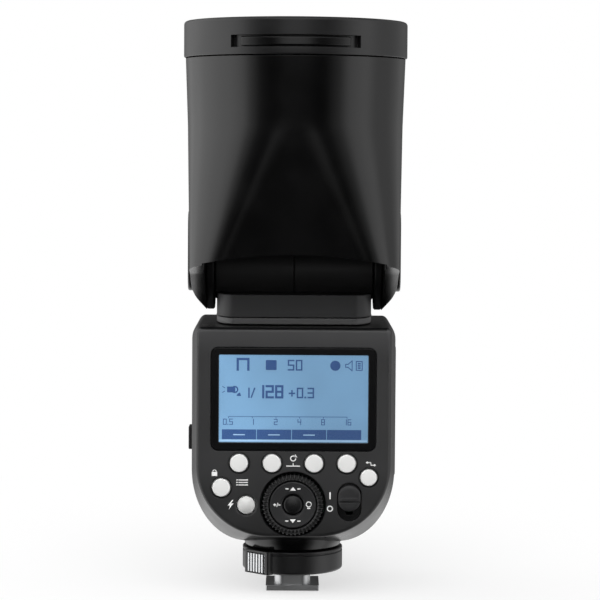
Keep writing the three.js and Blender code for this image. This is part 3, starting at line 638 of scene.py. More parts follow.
def rim_ring():
    low, high = RIM.low.z, RIM.high.z
    radius = RIM.high.x
    bore, ledge, seat = 34.8, 32.8, 189.6
    profile = [(ledge, low), (radius - 0.5, low), (radius - 0.15, low + 0.15), (radius, low + 0.5)]
    profile += arc(radius - 1.2, high - 1.2, 1.2, 1.2, 0, 90, 6)
    profile += arc(bore + 0.6, high - 0.6, 0.6, 0.6, 90, 180, 4)
    profile += [(bore, seat), (ledge, seat)]
    made = turned("rim_shell", profile, "z", 0, RIM_Y, 192)
    bar = Place("rim_catch_bar")
    slot_tool = prism("slot", sector(34, radius - 2, radius + 2), "z", bar.low.z - 0.4, bar.high.z + 0.4)
    carve(made, [slot_tool])
    return fit(made, "head", "matte_black", ["rim_ring"], RIM_BLACK)


def rim_catch_bar():
    place = Place("rim_catch_bar")
    made = prism("rim_bar", sector(29, 36.3, 37.5), "z", place.low.z, place.high.z)
    soften(made, 0.5)
    return fit(made, "head", "satin_black", ["rim_catch_bar"], SATIN)


def front_lens():
    """The clear front: a plate whose upper face carries fine concentric steps."""
    place = Place("front_lens")
    edge = place.high.x
    low, high = place.low.z, place.high.z
    profile = [(0, low), (edge, low), (edge, high - 0.8), (edge - 2, high)]
    radius = edge - 3
    while radius > 2:
        profile += [(radius, high), (radius - 0.15, high - 0.5), (radius - 1.1, high - 0.05)]
        radius -= 1.25
    profile.append((0, high))
    made = turned("fresnel_lens", profile, "z", 0, RIM_Y, 96)
    return fit(made, "head", "clear_window", ["front_lens"], GLASS)


def reflector():
    place = Place("reflector")
    wall, throat = 1.2, 6.0
    mouth = place.high.x - wall - throat
    height = place.size.z
    outside = []
    for i in range(25):
        t = i / 24
        outside.append((throat + wall + mouth * math.sqrt(t), place.low.z + height * t))
    inside = [(radius - wall, z) for radius, z in reversed(outside)]
    made = turned("reflector_bowl", outside + inside, "z", 0, RIM_Y, 96)
    tube = Place("flash_tube").mid.z
    carve(made, [prism("tube_way", circle(RIM_Y, tube, 2.7, 24), "x", -30, 30)])
    return fit(made, "zoom_carriage", "mirror_bowl", ["reflector"], MIRROR)


def flash_tube():
    place = Place("flash_tube")
    radius = place.size.z / 2
    ends = place.high.x
    profile = [(0, -ends), (radius * 0.7, -ends), (radius, -ends + 1.5), (radius, ends - 1.5),
               (radius * 0.7, ends), (0, ends)]
    made = turned("flash_tube_glass", profile, "x", RIM_Y, place.mid.z, 24)
    return fit(made, "zoom_carriage", "clear_window", ["flash_tube"], TUBE_GLASS)


# ---- Neck ---------------------------------------------------------------------------------

def neck_plan():
    """A flat back and front with elliptical corners, cut short in front."""
    place = Place("neck_block")
    half = place.high.x
    depth = TILT.y - place.low.y
    width, length = 6.5, 17.0
    x, y = half - width, depth - length
    outline = arc(x, TILT.y - y, width, length, -90, 0, 16)
    outline += arc(x, TILT.y + y, width, length, 0, 90, 16)
    outline += arc(-x, TILT.y + y, width, length, 90, 180, 16)
    outline += arc(-x, TILT.y - y, width, length, 180, 270, 16)
    return outline


def neck_part(node, bottom, top, tools, material, slot, edge):
    made = prism(node + "_shell", neck_plan(), "z", bottom, top)
    front = Place(node).high.y
    carve(made, [prism("front", rectangle(-50, front, 50, 60), "z", 80, 120)] + tools)
    soften(made, edge, 4, 50)
    return fit(made, "neck", slot, [node], material)


def neck():
    block = Place("neck_block")
    plate = Place("neck_base_plate")
    seat = prism("seat", circle(TILT.y, TILT.z, 11.3, 64), "x", -40, 40)
    cable_way = prism("cable_way", circle(0, TILT.y, 8, 48), "z", 80, 120)
    neck_part("neck_block", block.low.z, block.high.z, [seat, cable_way], NECK_BLACK, "matte_black", 0.9)
    hole = prism("hole", circle(0, TILT.y, 11.3, 48), "z", 80, 120)
    neck_part("neck_base_plate", plate.low.z, plate.high.z, [hole], PLATE_BLACK, "satin_black", 0.35)
    outline = rectangle(-27, TILT.y - 13, 27, TILT.y + 11, 4)
    gasket = prism("neck_gasket", outline, "z", plate.high.z - 0.02, block.low.z + 0.02)
    carve(gasket, [prism("hole", circle(0, TILT.y, 11.3, 48), "z", 80, 120)])
    fit(gasket, "neck", "satin_black", [], PLATE_BLACK)


def hinge_barrel(node, outward):
    """A plain hinge barrel; a smaller core closes the seam between the two."""
    place = Place(node)
    radius = place.size.z / 2
    bore = 3.6
    middle, end = (place.low.x, place.high.x) if outward > 0 else (place.high.x, place.low.x)
    profile = [(bore, 0.01 * outward), (radius - 0.6, 0.01 * outward), (radius - 0.6, middle)]
    profile += [(radius - 0.2, middle), (radius, middle + 0.2 * outward), (radius, end - 0.4 * outward)]
    profile += [(radius - 0.4, end), (bore, end)]
    made = turned(node + "_shell", profile, "x", TILT.y, TILT.z, 64)
    return fit(made, "neck", "soft_black", [node], BARREL_BLACK)


# ---- Body ---------------------------------------------------------------------------------

SHELL = {"half": 35.1, "bottom": 18.0, "corner": (19.5, 25.0), "top_corner": (3.0, 5.0)}
PANEL = {"half": 33.3, "bottom": 21.6, "corner": (25.3, 24.4), "top_corner": (1.5, 1.5)}
FLARE_END = -12.0
PARTING = -9.0
PANEL_ROUNDING = 1.6
FRONT_ROUNDING = 3.0
LIP_INSET = 0.8
LIP_REACH = 1.2


def body_outline(form, inset, y):
    """The body from the display side: straight sides and top, elliptical lower corners."""
    across, up = form["corner"]
    low_x = form["half"] - across
    low_z = form["bottom"] + up
    top_corner = form["top_corner"]
    high_x = form["half"] - inset - top_corner[0]
    high_z = BODY_TOP - inset - top_corner[1]
    outline = arc(low_x, low_z, across - inset, up - inset, 270, 360, 24)
    outline += arc(high_x, high_z, *top_corner, 0, 90, 8)
    outline += arc(-high_x, high_z, *top_corner, 90, 180, 8)
    outline += arc(-low_x, low_z, across - inset, up - inset, 180, 270, 24)
    return [put("y", x, z, y) for x, z in outline]


def body_block(name, inset):
    rings = []
    steps = 6
    for i in range(steps + 1):
        angle = math.radians(90 * i / steps)
        extra = PANEL_ROUNDING * (1 - math.sin(angle))
        y = BODY_BACK + inset + PANEL_ROUNDING * (1 - math.cos(angle))
        rings.append(body_outline(PANEL, inset + extra, y))
    rings.append(body_outline(SHELL, inset, FLARE_END))
    for i in range(steps + 1):
        angle = math.radians(90 * i / steps)
        extra = FRONT_ROUNDING * (1 - math.cos(angle))
        y = FRONT.high.y - inset - FRONT_ROUNDING * (1 - math.sin(angle))
        rings.append(body_outline(SHELL, inset + extra, y))
    return loft(name, rings)


def slab(name, low_y, high_y):
    return prism(name, rectangle(-60, -20, 60, 130), "y", low_y, high_y)


def shared_openings():
    collar = Place("foot_collar")
    door = grown("battery_end_cap", (1, 2), GAP)
    return [
        prism("collar_way", circle(0, 0, collar.high.x + GAP, 96), "z", 10, collar.high.z + GAP),
        prism("tube_hole", circle(0, TILT.y, 11.3, 48), "z", 88, 100),
        prism("battery_way", rectangle(*door, 2 + GAP), "x", 28, 40),
    ]


SCREEN = (-25.4, 54.1, 25.4, 84.0)  # left, bottom, right and top of the lit area
SCREEN_WAY = (-25.75, 53.75, 25.75, 84.35)
BUTTONS = ["function_button_1", "function_button_2", "function_button_3", "function_button_4",
           "sync_button", "menu_button", "test_button"]
SWITCH_X = 19.2
SWITCH_Z = 34.0


def cap_radius(node):
    """A push button's cap is smaller than the flange behind it, which sets the node's box."""
    return Place(node).size.x / 2 - 0.8


def stadium(z, width, height, margin=0.0):
    half = width / 2 + margin
    tall = height / 2 + margin
    return rectangle(SWITCH_X - half, z - tall, SWITCH_X + half, z + tall, half - 0.03, 12)


def cone(name, x, z, inner, outer, depth):
    """A tool for a hole's chamfer: wide at the panel's face and narrow behind it."""
    face = BODY_BACK - 0.5
    grow = (outer - inner) * 0.5 / depth
    return turned(name,
                  [(0, face), (outer + grow, face), (inner, BODY_BACK + depth), (0, BODY_BACK + depth)],
                  "y", x, z, 48)


def control_openings():
    start, end = BODY_BACK - 2, BODY_BACK + 5
    tools = []
    for node in BUTTONS:
        mid = Place(node).mid
        radius = cap_radius(node)
        tools.append(prism("hole", circle(mid.x, mid.z, radius + 0.3, 48), "y", start, end))
        tools.append(cone("chamfer", mid.x, mid.z, radius + 0.3, radius + 0.85, 0.45))
    dial = DIAL.size.x / 2
    tools.append(prism("dial_hole", circle(0, DIAL.mid.z, dial + GAP, 96), "y", start, end))
    tools.append(cone("dial_chamfer", 0, DIAL.mid.z, dial + GAP, dial + 0.8, 0.5))
    bezel = grown("lcd_window", (0, 2), GAP)
    tools.append(prism("bezel_recess", rectangle(*bezel, 2.8), "y", start, BODY_BACK + 1.4))
    tools.append(prism("screen_way", rectangle(*SCREEN_WAY), "y", start, end))
    tools.append(prism("switch_recess", stadium(SWITCH_Z, 8.3, 13.3), "y", start, BODY_BACK + 1.4))
    slide = rectangle(SWITCH_X - 1.3, SWITCH_Z - 4.6, SWITCH_X + 1.3, SWITCH_Z + 4)
    tools.append(prism("slide_way", slide, "y", BODY_BACK, end))
    return tools


def seam_lip(name, inset, low_y, high_y):
    """The step where the two covers meet, which keeps daylight out of the seam."""
    made = body_block(name, inset)
    carve(made, [slab("behind", -80, low_y), slab("before", high_y, 80)])
    return made


def rear_cover():
    made = body_block("rear_shell", 0)
    lip_way = seam_lip("lip_way", LIP_INSET, PARTING - LIP_REACH, 0)
    tools = [body_block("rear_cavity", WALL), slab("front_half", PARTING, 60), lip_way]
    carve(made, tools + shared_openings() + control_openings())
    fit(made, "body_shell", "matte_black", ["rear_cover"], MATTE, SATIN_BODY)
    for face in made.data.polygons:
        face.material_index = 0 if face.normal.y < -0.85 else 1


def front_cover():
    made = body_block("front_shell", 0)
    carve(made, [slab("back_half", -60, PARTING + GAP)])
    lip = seam_lip("lip", LIP_INSET + 0.05, PARTING - LIP_REACH + 0.1, PARTING + 1)
    carve(made, [lip], "UNION")
    carve(made, [body_block("front_cavity", WALL)])
    behind = prism("port_wall", rectangle(-3, 33, 23, 65), "x", -34, -31)
    carve(made, [behind], "UNION")
    door = grown("port_door", (1, 2), GAP)
    port_place = Place("port_door")
    pocket = rectangle(-GAP, port_place.low.z - GAP, port_place.high.y + GAP, port_place.high.z + GAP)
    window = grown("af_assist_window", (0, 2), GAP)
    usb = grown("usb_socket", (1, 2), GAP)
    jack = Place("sync_jack")
    tools = [
        prism("port_pocket", pocket, "x", -40, -33.3),
        prism("usb_way", rectangle(*usb), "x", -36, -30),
        prism("jack_way", circle(jack.mid.y, jack.mid.z, 3.1, 32), "x", -36, -30),
        prism("window_seat", rectangle(*window, 3.3), "y", 36.6, 45),
    ]
    carve(made, tools + shared_openings())
    return fit(made, "body_shell", "satin_black", ["front_cover"], SATIN_BODY)


def assist_window():
    place = Place("af_assist_window")
    shape = rectangle(*grown("af_assist_window", (0, 2)), 3)
    made = prism("assist_lens", shape, "y", place.low.y, place.high.y)
    soften(made, 0.4)
    return fit(made, "body_shell", "red_window", ["af_assist_window"], DARK_RED)


# ---- Display ------------------------------------------------------------------------------

def frame_plate(name, outer, inner, start, end):
    made = prism(name, outer, "y", start, end)
    carve(made, [prism("opening", inner, "y", start - 1, end + 1)])
    return made


def display():
    window = grown("lcd_window", (0, 2))
    front, back = WINDOW.low.y, WINDOW.high.y
    outer = rectangle(*window, 2.5, 10)
    bezel = frame_plate("lcd_bezel", outer, rectangle(*SCREEN, 0.5), front, back)
    soften(bezel, 0.15, 2)
    fit(bezel, "body_shell", "clear_window", ["lcd_window"], GLOSS)
    left, bottom, right, top = SCREEN
    pane = prism("lcd_pane", rectangle(left + 0.05, bottom + 0.05, right - 0.05, top - 0.05), "y",
                 front + 0.1, back - 0.3)
    fit(pane, "body_shell", "clear_window", ["lcd_window"], GLASS)
    module = Place("lcd_module")
    picture = prism("lcd_picture", rectangle(left + 0.1, bottom + 0.1, right - 0.1, top - 0.1), "y",
                    back, module.low.y)
    fit(picture, "body_shell", "display", ["lcd_module"], LCD_BLUE)
    casing = prism("lcd_casing", rectangle(*grown("lcd_module", (0, 2)), 1), "y", module.low.y + 0.05,
                   module.high.y)
    fit(casing, "body_shell", "display", ["lcd_module"], SOFT)
    display_content(back)


def stroke(points, width):
    """Each length of a line as a bar of this width, with square ends."""
    bars = []
    for start, end in zip(points, points[1:]):
        a, b = Vector(start), Vector(end)
        along = (b - a).normalized() * width / 2
        side = Vector((-along.y, along.x))
        bars.append([a - along - side, b + along - side, b + along + side, a - along + side])
    return bars


def ring_bars(u, v, radius, width, steps=16, start=0, end=360):
    return stroke(arc(u, v, radius, radius, start, end, steps), width)


def decal(name, shapes, face, thickness, body, material):
    """Flat shapes printed on a face that looks towards -Y; each lies a little further out."""
    parts = []
    for i, shape in enumerate(shapes):
        lift = 0.0005 * (i % 7)
        parts.append(prism("ink", [tuple(point) for point in shape], "y", face - thickness - lift,
                           face + 0.01))
    made = one_mesh(name, parts)
    made.data.materials.append(material)
    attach(made, body)
    return made


# The seven strokes of a counter's digit, as corners of a cell one wide and two tall.
DIGIT_STROKES = {
    "a": ((0, 2), (1, 2)), "b": ((1, 2), (1, 1)), "c": ((1, 1), (1, 0)), "d": ((0, 0), (1, 0)),
    "e": ((0, 1), (0, 0)), "f": ((0, 2), (0, 1)), "g": ((0, 1), (1, 1)),
}
DIGITS = {
    "0": "abcdef", "1": "bc", "2": "abged", "3": "abgcd", "4": "fgbc", "5": "afgcd", "6": "afgedc",
    "7": "abc", "8": "abcdefg", "9": "abcdfg",
}


def number(text, x, z, height, weight):
    """A row of digits from x rightwards, with its foot at z. A point or a slash is drawn as such."""
    shapes = []
    half = height / 2
    wide = half * 1.1
    for character in text:
        if character == ".":
            shapes += stroke([(x, z), (x + 0.01, z)], weight * 1.2)
            x += wide * 0.6
        elif character == "/":
            shapes += stroke([(x - 0.1, z), (x + wide * 0.6, z + height)], weight)
            x += wide * 1.15
        elif character == "+":
            middle = z + half * 0.9
            shapes += stroke([(x, middle), (x + wide, middle)], weight)
            shapes += stroke([(x + wide / 2, middle - wide / 2), (x + wide / 2, middle + wide / 2)], weight)
            x += wide * 1.6
        else:
            for name in DIGITS[character]:
                line = [(x + u * wide, z + v * half) for u, v in DIGIT_STROKES[name]]
                shapes += stroke(line, weight)
            x += wide * 1.55
    return shapes


def display_content(face):
    left, bottom, right, top = SCREEN
    bar_top = bottom + 4.4
    ink = []
    row = top - 5.1
    ink += number("50", left + 23.6, row, 3.2, 0.5)
    ink.append(rectangle(left + 15.9, row - 0.1, left + 19.6, row + 3.3, 0.3))
    ink += stroke([(left + 6.4, row), (left + 6.4, row + 3.6), (left + 10.0, row + 3.6),
                   (left + 10.0, row)], 0.8)
    ink.append(circle(right - 11.3, row + 1.5, 1.75, 20))
    speaker_x = right - 7.8
    ink += stroke([(speaker_x, row + 1), (speaker_x, row + 2), (speaker_x + 0.8, row + 2),
                   (speaker_x + 2.2, row + 3.2), (speaker_x + 2.2, row - 0.2), (speaker_x + 0.8, row + 1),
                   (speaker_x, row + 1)], 0.3)
    cell = rectangle(right - 4.2, row, right - 2.2, row + 3.0)
    ink += stroke(cell + cell[:1], 0.32)
    ink += [rectangle(right - 3.7, row + z, right - 2.7, row + z + 0.5) for z in (0.5, 1.25, 2.0)]
    middle = bottom + 15.4
    ink.append(rectangle(left + 2.8, middle + 1.6, left + 5.6, middle + 3.6))
    ink += ring_bars(left + 5.4, middle + 2.6, 1.0, 0.45)
    ink.append([(left + 6.0, middle + 0.4), (left + 7.6, middle + 0.4), (left + 7.2, middle + 1.6),
                (left + 6.4, middle + 1.2)])
    ink += stroke([(left + 1.3, middle + 1.6), (left + 2.0, middle + 2.0)], 0.25)
    ink += stroke([(left + 1.3, middle + 3.6), (left + 2.0, middle + 3.2)], 0.25)
    ink += number("1/", left + 8.6, middle, 3.0, 0.5)
    ink += number("128", left + 13.0, middle, 3.8, 0.75)
    ink += number("+0.3", left + 24.0, middle, 3.1, 0.52)
    scale_z = bar_top + 4.4
    marks = 6
    first, last = left + 3.4, right - 7.2
    ink += stroke([(first, scale_z), (last, scale_z)], 0.2)
    for i, text in enumerate(["0.5", "1", "2", "4", "8", "16"]):
        x = mix(first, last, i / (marks - 1))
        ink += stroke([(x, scale_z), (x, scale_z - 0.5)], 0.2)
        ink += number(text, x - 0.6 * len(text), scale_z - 2.7, 1.8, 0.26)
    segments = 4
    bar_left, bar_right = left + 1, right - 2.2
    width = (bar_right - bar_left) / segments
    for i in range(segments):
        x = bar_left + i * width
        ink.append(rectangle(x + 0.12, bottom + 1, x + width - 0.12, bar_top))
    decal("lcd_ink", ink, face, 0.04, "body_shell", LCD_DARK)
    pale = [rectangle(left + 0.3, bottom + 0.3, right - 0.3, bottom + 0.9)]
    for i in range(segments - 1):
        x = bar_left + (i + 0.5) * width
        pale += stroke([(x - 1.8, bottom + 2.6), (x + 1.8, bottom + 2.6)], 0.35)
    decal("lcd_lines", pale, face - 0.04, 0.03, "body_shell", LCD_PALE)


# ---- Controls -----------------------------------------------------------------------------

def push_button(node, dome, material, slot):
    """A cap with a rounded rim and a dome, on the flange behind the panel."""
    place = Place(node)
    radius = cap_radius(node)
    flange = place.size.x / 2
    front, back = place.low.y, place.high.y
    edge = 0.35
    profile = [(0, back), (flange, back), (flange, back - 1), (radius, back - 1)]
    profile += [(radius + u, front + dome + edge - v)
                for u, v in arc(-edge, 0, edge, edge, 0, 90, 5)]
    steps = 6
    for i in range(1, steps + 1):
        t = i / steps
        profile.append(((radius - edge) * (1 - t), front + dome * (1 - t) ** 2))
    made = turned(node + "_cap", profile, "y", place.mid.x, place.mid.z, 48)
    return fit(made, node, slot, [node], material)


def dial_ring():
    """A ring with ribs all round its rim and its outer bevel."""
    place = DIAL
    outer = place.size.x / 2
    inner = 8.3
    front, back = place.low.y, place.high.y
    ribs = 46
    rings = []
    for i in range(ribs * 4):
        turn = 2 * math.pi * i / (ribs * 4)
        groove = 0.5 if i % 4 in (2, 3) else 0.0
        profile = [(inner, back), (outer - groove, back), (outer - groove, front + 1.2),
                   (outer - 0.3 - groove, front + 0.5 + groove), (outer - 0.9, front + 0.1 + groove),
                   (inner + 0.7, front + groove), (inner + 0.3, front + 0.15), (inner, front + 0.5)]
        rings.append([Vector((radius * math.cos(turn), along, place.mid.z + radius * math.sin(turn)))
                      for radius, along in profile])
    made = loft("dial_ribs", rings, closed=True)
    return fit(made, "dial", "satin_black", ["dial_ring"], SATIN_BODY)


def four_way_pad():
    place = Place("four_way_pad")
    radius, hole = place.size.x / 2, 3.6
    front, back = place.low.y, place.high.y
    profile = [(hole, back), (radius, back), (radius, front + 0.5), (radius - 0.15, front + 0.15),
               (radius - 0.5, front), (radius - 0.9, front + 0.1), (hole + 1, front + 0.1),
               (hole + 0.3, front + 0.3), (hole, front + 0.7)]
    made = turned("pad_disc", profile, "y", 0, DIAL.mid.z, 72)
    return fit(made, "four_way_pad", "matte_black", ["four_way_pad"], PAD_BLACK)


def set_button():
    place = Place("set_button")
    radius = 3.25
    flange = place.size.x / 2
    front, back = place.low.y, place.high.y
    dome = 0.6
    profile = [(0, back), (flange, back), (flange, back - 1.6), (radius, back - 1.6),
               (radius, front + dome + 0.2)]
    for i in range(9):
        t = i / 8
        profile.append(((radius - 0.15) * math.cos(math.pi / 2 * t),
                        front + dome * (1 - math.sin(math.pi / 2 * t))))
    made = turned("set_dome", profile, "y", 0, DIAL.mid.z, 48)
    return fit(made, "set_button", "satin_black", ["set_button"], SATIN_BODY)


def power_switch():
    """A domed stadium with a ridge and a groove across it, on the stem that slides behind the panel."""
    place = Place("power_switch")
    front = place.low.y
    knob_z = 35.3
    crown = BODY_BACK - 0.7
    rings = []
    for inset, along in ((0, BODY_BACK + 1.1), (0, crown + 0.6), (0.15, crown + 0.25), (0.5, crown),
                         (1.6, crown - 0.15)):
        outline = stadium(knob_z, 7.7 - 2 * inset, 9 - 2 * inset)
        rings.append([put("y", x, z, along) for x, z in outline])
    made = loft("switch_knob", rings)
    groove_z = 34.0
    groove = prism("groove", rectangle(SWITCH_X - 3.5, groove_z - 0.3, SWITCH_X + 3.5, groove_z + 0.3), "y",
                   crown - 2, crown + 0.35)
    carve(made, [groove])
    ridge = prism("ridge",
                  rectangle(SWITCH_X - 2.9, groove_z + 0.5, SWITCH_X + 2.9, groove_z + 1.5, 0.45, 6), "y",
                  front, crown + 0.3)
    stem = prism("stem", rectangle(SWITCH_X - 1, knob_z - 2, SWITCH_X + 1, knob_z + 2), "y",
                 BODY_BACK + 1, place.high.y)
    carve(made, [ridge, stem], "UNION")
    return fit(made, "power_switch", "satin_black", ["power_switch"], PAD_BLACK)


def switch_well():
    """A black plate that lines the switch's recess."""
    shape = stadium(SWITCH_Z, 8.3, 13.3, -0.03)
    made = prism("switch_well", shape, "y", BODY_BACK + 1.3, BODY_BACK + 1.45)
    slide = rectangle(SWITCH_X - 1.25, SWITCH_Z - 4.55, SWITCH_X + 1.25, SWITCH_Z + 3.95)
    carve(made, [prism("slide", slide, "y", BODY_BACK, BODY_BACK + 3)])
    fit(made, "body_shell", "satin_black", [], SATIN)


def bolt(u, v, size):
    points = [(0.3, 1), (-0.6, -0.15), (-0.1, -0.15), (-0.4, -1), (0.6, 0.3), (0.1, 0.3), (0.6, 1)]
    return [(u + x * size, v + y * size) for x, y in points]


def padlock(u, v, size):
    body = rectangle(u - size * 0.75, v - size, u + size * 0.75, v + size * 0.15, 0.1)
    return [body] + ring_bars(u, v + size * 0.2, size * 0.45, 0.28, 10, 0, 180)


def list_icon(u, v, size):
    lines = []
    for step in (-1, 0, 1):
        z = v + step * size * 0.65
        lines += stroke([(u - size * 1.4, z), (u - size * 1.25, z)], 0.36)
        lines += stroke([(u - size * 0.8, z), (u + size * 1.4, z)], 0.36)
    return lines


def reset_icon(u, v):
    """A turning arrow over a line with a tick, between the two middle buttons."""
    shapes = ring_bars(u, v + 2.6, 0.85, 0.34, 14, 60, 350)
    shapes.append([(u + 0.2, v + 3.1), (u + 1.4, v + 3.0), (u + 0.7, v + 4.1)])
    shapes += stroke([(u - 2.2, v), (u + 2.2, v)], 0.34)
    shapes += stroke([(u, v), (u, v + 0.9)], 0.28)
    return shapes


def sync_icon(u, v):
    shapes = stroke([(u - 1.2, v + 0.45), (u - 0.1, v + 0.45), (u + 0.1, v - 0.45), (u + 1.2, v - 0.45)],
                    0.32)
    shapes.append([(u - 1.8, v + 0.45), (u - 1.1, v - 0.05), (u - 1.1, v + 0.95)])
    shapes.append([(u + 1.8, v - 0.45), (u + 1.1, v + 0.05), (u + 1.1, v - 0.95)])
    return shapes


def panel_print():
    """Pictograms in white on the panel; words are left out."""
    menu = Place("menu_button").mid
    test = Place("test_button").mid
    sync = Place("sync_button").mid
    marks = padlock(menu.x - 2.3, menu.z + 5.2, 1.25)
    marks += list_icon(menu.x + 7.1, menu.z + 1.8, 1.3)
    marks.append(bolt(test.x - 5.3, test.z + 0.1, 1.7))
    marks += reset_icon(0, Place("function_button_2").mid.z - 0.9)
    marks += sync_icon(sync.x + 0.7, sync.z + 4.7)
    on_x = SWITCH_X - 6.6
    marks += stroke([(on_x, SWITCH_Z + 1.2), (on_x, SWITCH_Z + 3.1)], 0.5)
    marks += ring_bars(on_x, SWITCH_Z - 2.3, 0.85, 0.36, 20)
    decal("panel_print", marks, BODY_BACK, 0.03, "body_shell", PRINT)


def pad_print():
    """Small pictograms round the four-way pad."""
    z = DIAL.mid.z
    face = Place("four_way_pad").low.y + 0.1
    left, right, reach = -5.3, 5.4, 5.6
    marks = stroke([(left - 1.2, z), (left - 0.5, z)], 0.34)
    marks += stroke([(left - 0.85, z - 0.36), (left - 0.85, z + 0.36)], 0.34)
    marks += stroke([(left - 0.15, z - 0.6), (left + 0.2, z + 0.6)], 0.26)
    marks += stroke([(left + 0.55, z), (left + 1.0, z)], 0.34)
    marks += ring_bars(right, z + 0.25, 0.85, 0.3, 18)
    marks += stroke([(right - 0.35, z - 1.1), (right + 0.35, z - 1.1)], 0.4)
    for turn in (1, -1):
        foot = z + turn * (reach - 0.7)
        marks.append([(-1.0, foot), (1.0, foot), (0, foot + turn * 1.3)])
        for side in (-1, 1):
            marks += stroke([(side * 1.7, foot + turn * 0.6), (side * 2.4, foot + turn * 0.6)], 0.4)
    decal("pad_print", marks, face, 0.06, "four_way_pad", PRINT)


# ---- Battery and port door ----------------------------------------------------------------

def battery():
    pack = Place("battery_pack")
    shape = rectangle(*grown("battery_pack", (1, 2)), 3)
    made = prism("battery_case", shape, "x", pack.low.x, pack.high.x)
    groove = pack.low.x + 9
    band = prism("band", rectangle(pack.low.y - 1, pack.low.z - 1, pack.high.y + 1, pack.high.z + 1), "x",
                 groove, groove + 0.4)
    core = prism("core", rectangle(*grown("battery_pack", (1, 2), -0.3), 2.7), "x", groove - 1, groove + 2)
    carve(band, [core])
    carve(made, [band])
    soften(made, 0.4, 2)
    fit(made, "battery", "battery_case", ["battery_pack"], BATTERY_CASE)
    contacts = []
    for step in range(4):
        z = mix(pack.low.z + 8, pack.high.z - 8, step / 3)
        contacts.append(prism("contact",
                              rectangle(pack.mid.y - 3, z - 1.6, pack.mid.y + 3, z + 1.6, 0.4), "x",
                              pack.low.x - 0.25, pack.low.x + 0.1))
    plates = one_mesh("battery_contacts", contacts)
    fit(plates, "battery", "plated_steel", [], BRASS)


def battery_end_cap():
    place = Place("battery_end_cap")
    latch = grown("battery_latch", (1, 2), GAP)
    made = prism("battery_door", rectangle(*grown("battery_end_cap", (1, 2)), 2, 8), "x", place.low.x,
                 place.high.x)
    tools = [prism("latch_well", rectangle(*latch, 2.3), "x", place.high.x - 1.9, 45)]
    for step in range(5):
        z = place.low.z + 5 + step * 1.8
        tools.append(prism("grip", rectangle(place.mid.y - 8, z, place.mid.y + 8, z + 0.7, 0.3), "x",
                           place.high.x - 0.35, 45))
    carve(made, tools)
    soften(made, 0.35, 3)
    fit(made, "battery", "satin_black", ["battery_end_cap"], SATIN_BODY)


def battery_latch():
    place = Place("battery_latch")
    made = prism("latch_button", rectangle(*grown("battery_latch", (1, 2)), 2, 8), "x", place.low.x,
                 place.high.x)
    soften(made, 0.25, 3)
    fit(made, "battery_latch", "matte_black", ["battery_latch"], PAD_BLACK)


def port_door():
    """A soft rubber door with the finger tab that shows past the body's edge."""
    place = Place("port_door")
    left = -SHELL["half"]
    plate = prism("rubber_door", rectangle(0, place.low.z, place.high.y, place.high.z, 1.2, 8), "x",
                  left - 0.2, place.high.x)
    tab = prism("tab", rectangle(3, 47.8, 11, 55.9, 0.8), "x", place.low.x, left)
    carve(plate, [tab], "UNION")
    soften(plate, 0.35, 3)
    fit(plate, "port_door", "soft_black", ["port_door"], SOFT)


# ---- Foot ---------------------------------------------------------------------------------

RELEASE_ANGLE = math.radians(227)  # where the release button faces


def at_release(made):
    """Turns a piece drawn along +X round to the release button's side."""
    cos, sin = math.cos(RELEASE_ANGLE), math.sin(RELEASE_ANGLE)
    for vertex in made.data.vertices:
        x, y = vertex.co.x, vertex.co.y
        vertex.co.x = x * cos - y * sin
        vertex.co.y = x * sin + y * cos
    made.data.update()
    return made


def foot_collar():
    place = Place("foot_collar")
    radius = place.high.x
    low, high = place.low.z, place.high.z
    profile = [(0, low), (radius - 1.2, low)]
    profile += arc(radius - 1.2, low + 0.7, 0.7, 0.7, 270, 330, 4)
    profile += [(radius - 0.25, low + 1.6), (radius, low + 2.8), (radius, high), (0, high)]
    made = turned("collar_dish", profile, "z", 0, 0, 128)
    return fit(made, "body_shell", "satin_black", ["foot_collar"], SATIN)


def lock_ring():
    low, high = Place("lock_ring").low.z, Place("lock_ring").high.z
    radius, bore = 17.5, 8.4
    profile = [(bore, low), (radius - 1, low)] + arc(radius - 1, low + 1, 1, 1, 270, 360, 5)
    profile += [(radius, high - 1.5), (radius - 0.35, high - 1.3), (radius - 0.35, high - 1.0),
                (radius, high - 0.8)]
    profile += arc(radius - 0.3, high - 0.3, 0.3, 0.3, 0, 90, 3)
    profile.append((bore, high))
    made = turned("lock_collar", profile, "z", 0, 0, 128)
    post = at_release(prism("frame", rectangle(13, -5.7, 18.6, 5.7, 0.8), "z", low, high))
    carve(made, [post], "UNION")
    button = Place("release_button")
    pocket = rectangle(13.1, -3.9 - GAP, 20, 3.9 + GAP)
    carve(made, [at_release(prism("pocket", pocket, "z", button.low.z - GAP, button.high.z + GAP))])
    return fit(made, "lock_ring", "satin_black", ["lock_ring"], RIM_BLACK)


def release_button():
    """A plated button with upright ribs on its face."""
    place = Place("release_button")
    half, inner, outer = 3.9, 15.0, 18.9
    ribs = 6
    width = 2 * half / ribs
    outline = [(inner, -half)]
    for i in range(ribs):
        start = -half + i * width
        outline += [(outer - 0.5, start), (outer, start + width * 0.25), (outer, start + width * 0.65),
                    (outer - 0.5, start + width * 0.9)]
    outline += [(outer - 0.5, half), (inner, half)]
    made = at_release(prism("ribbed_button", outline, "z", place.low.z, place.high.z))
    return fit(made, "release_button", "chrome", ["release_button"], CHROME)


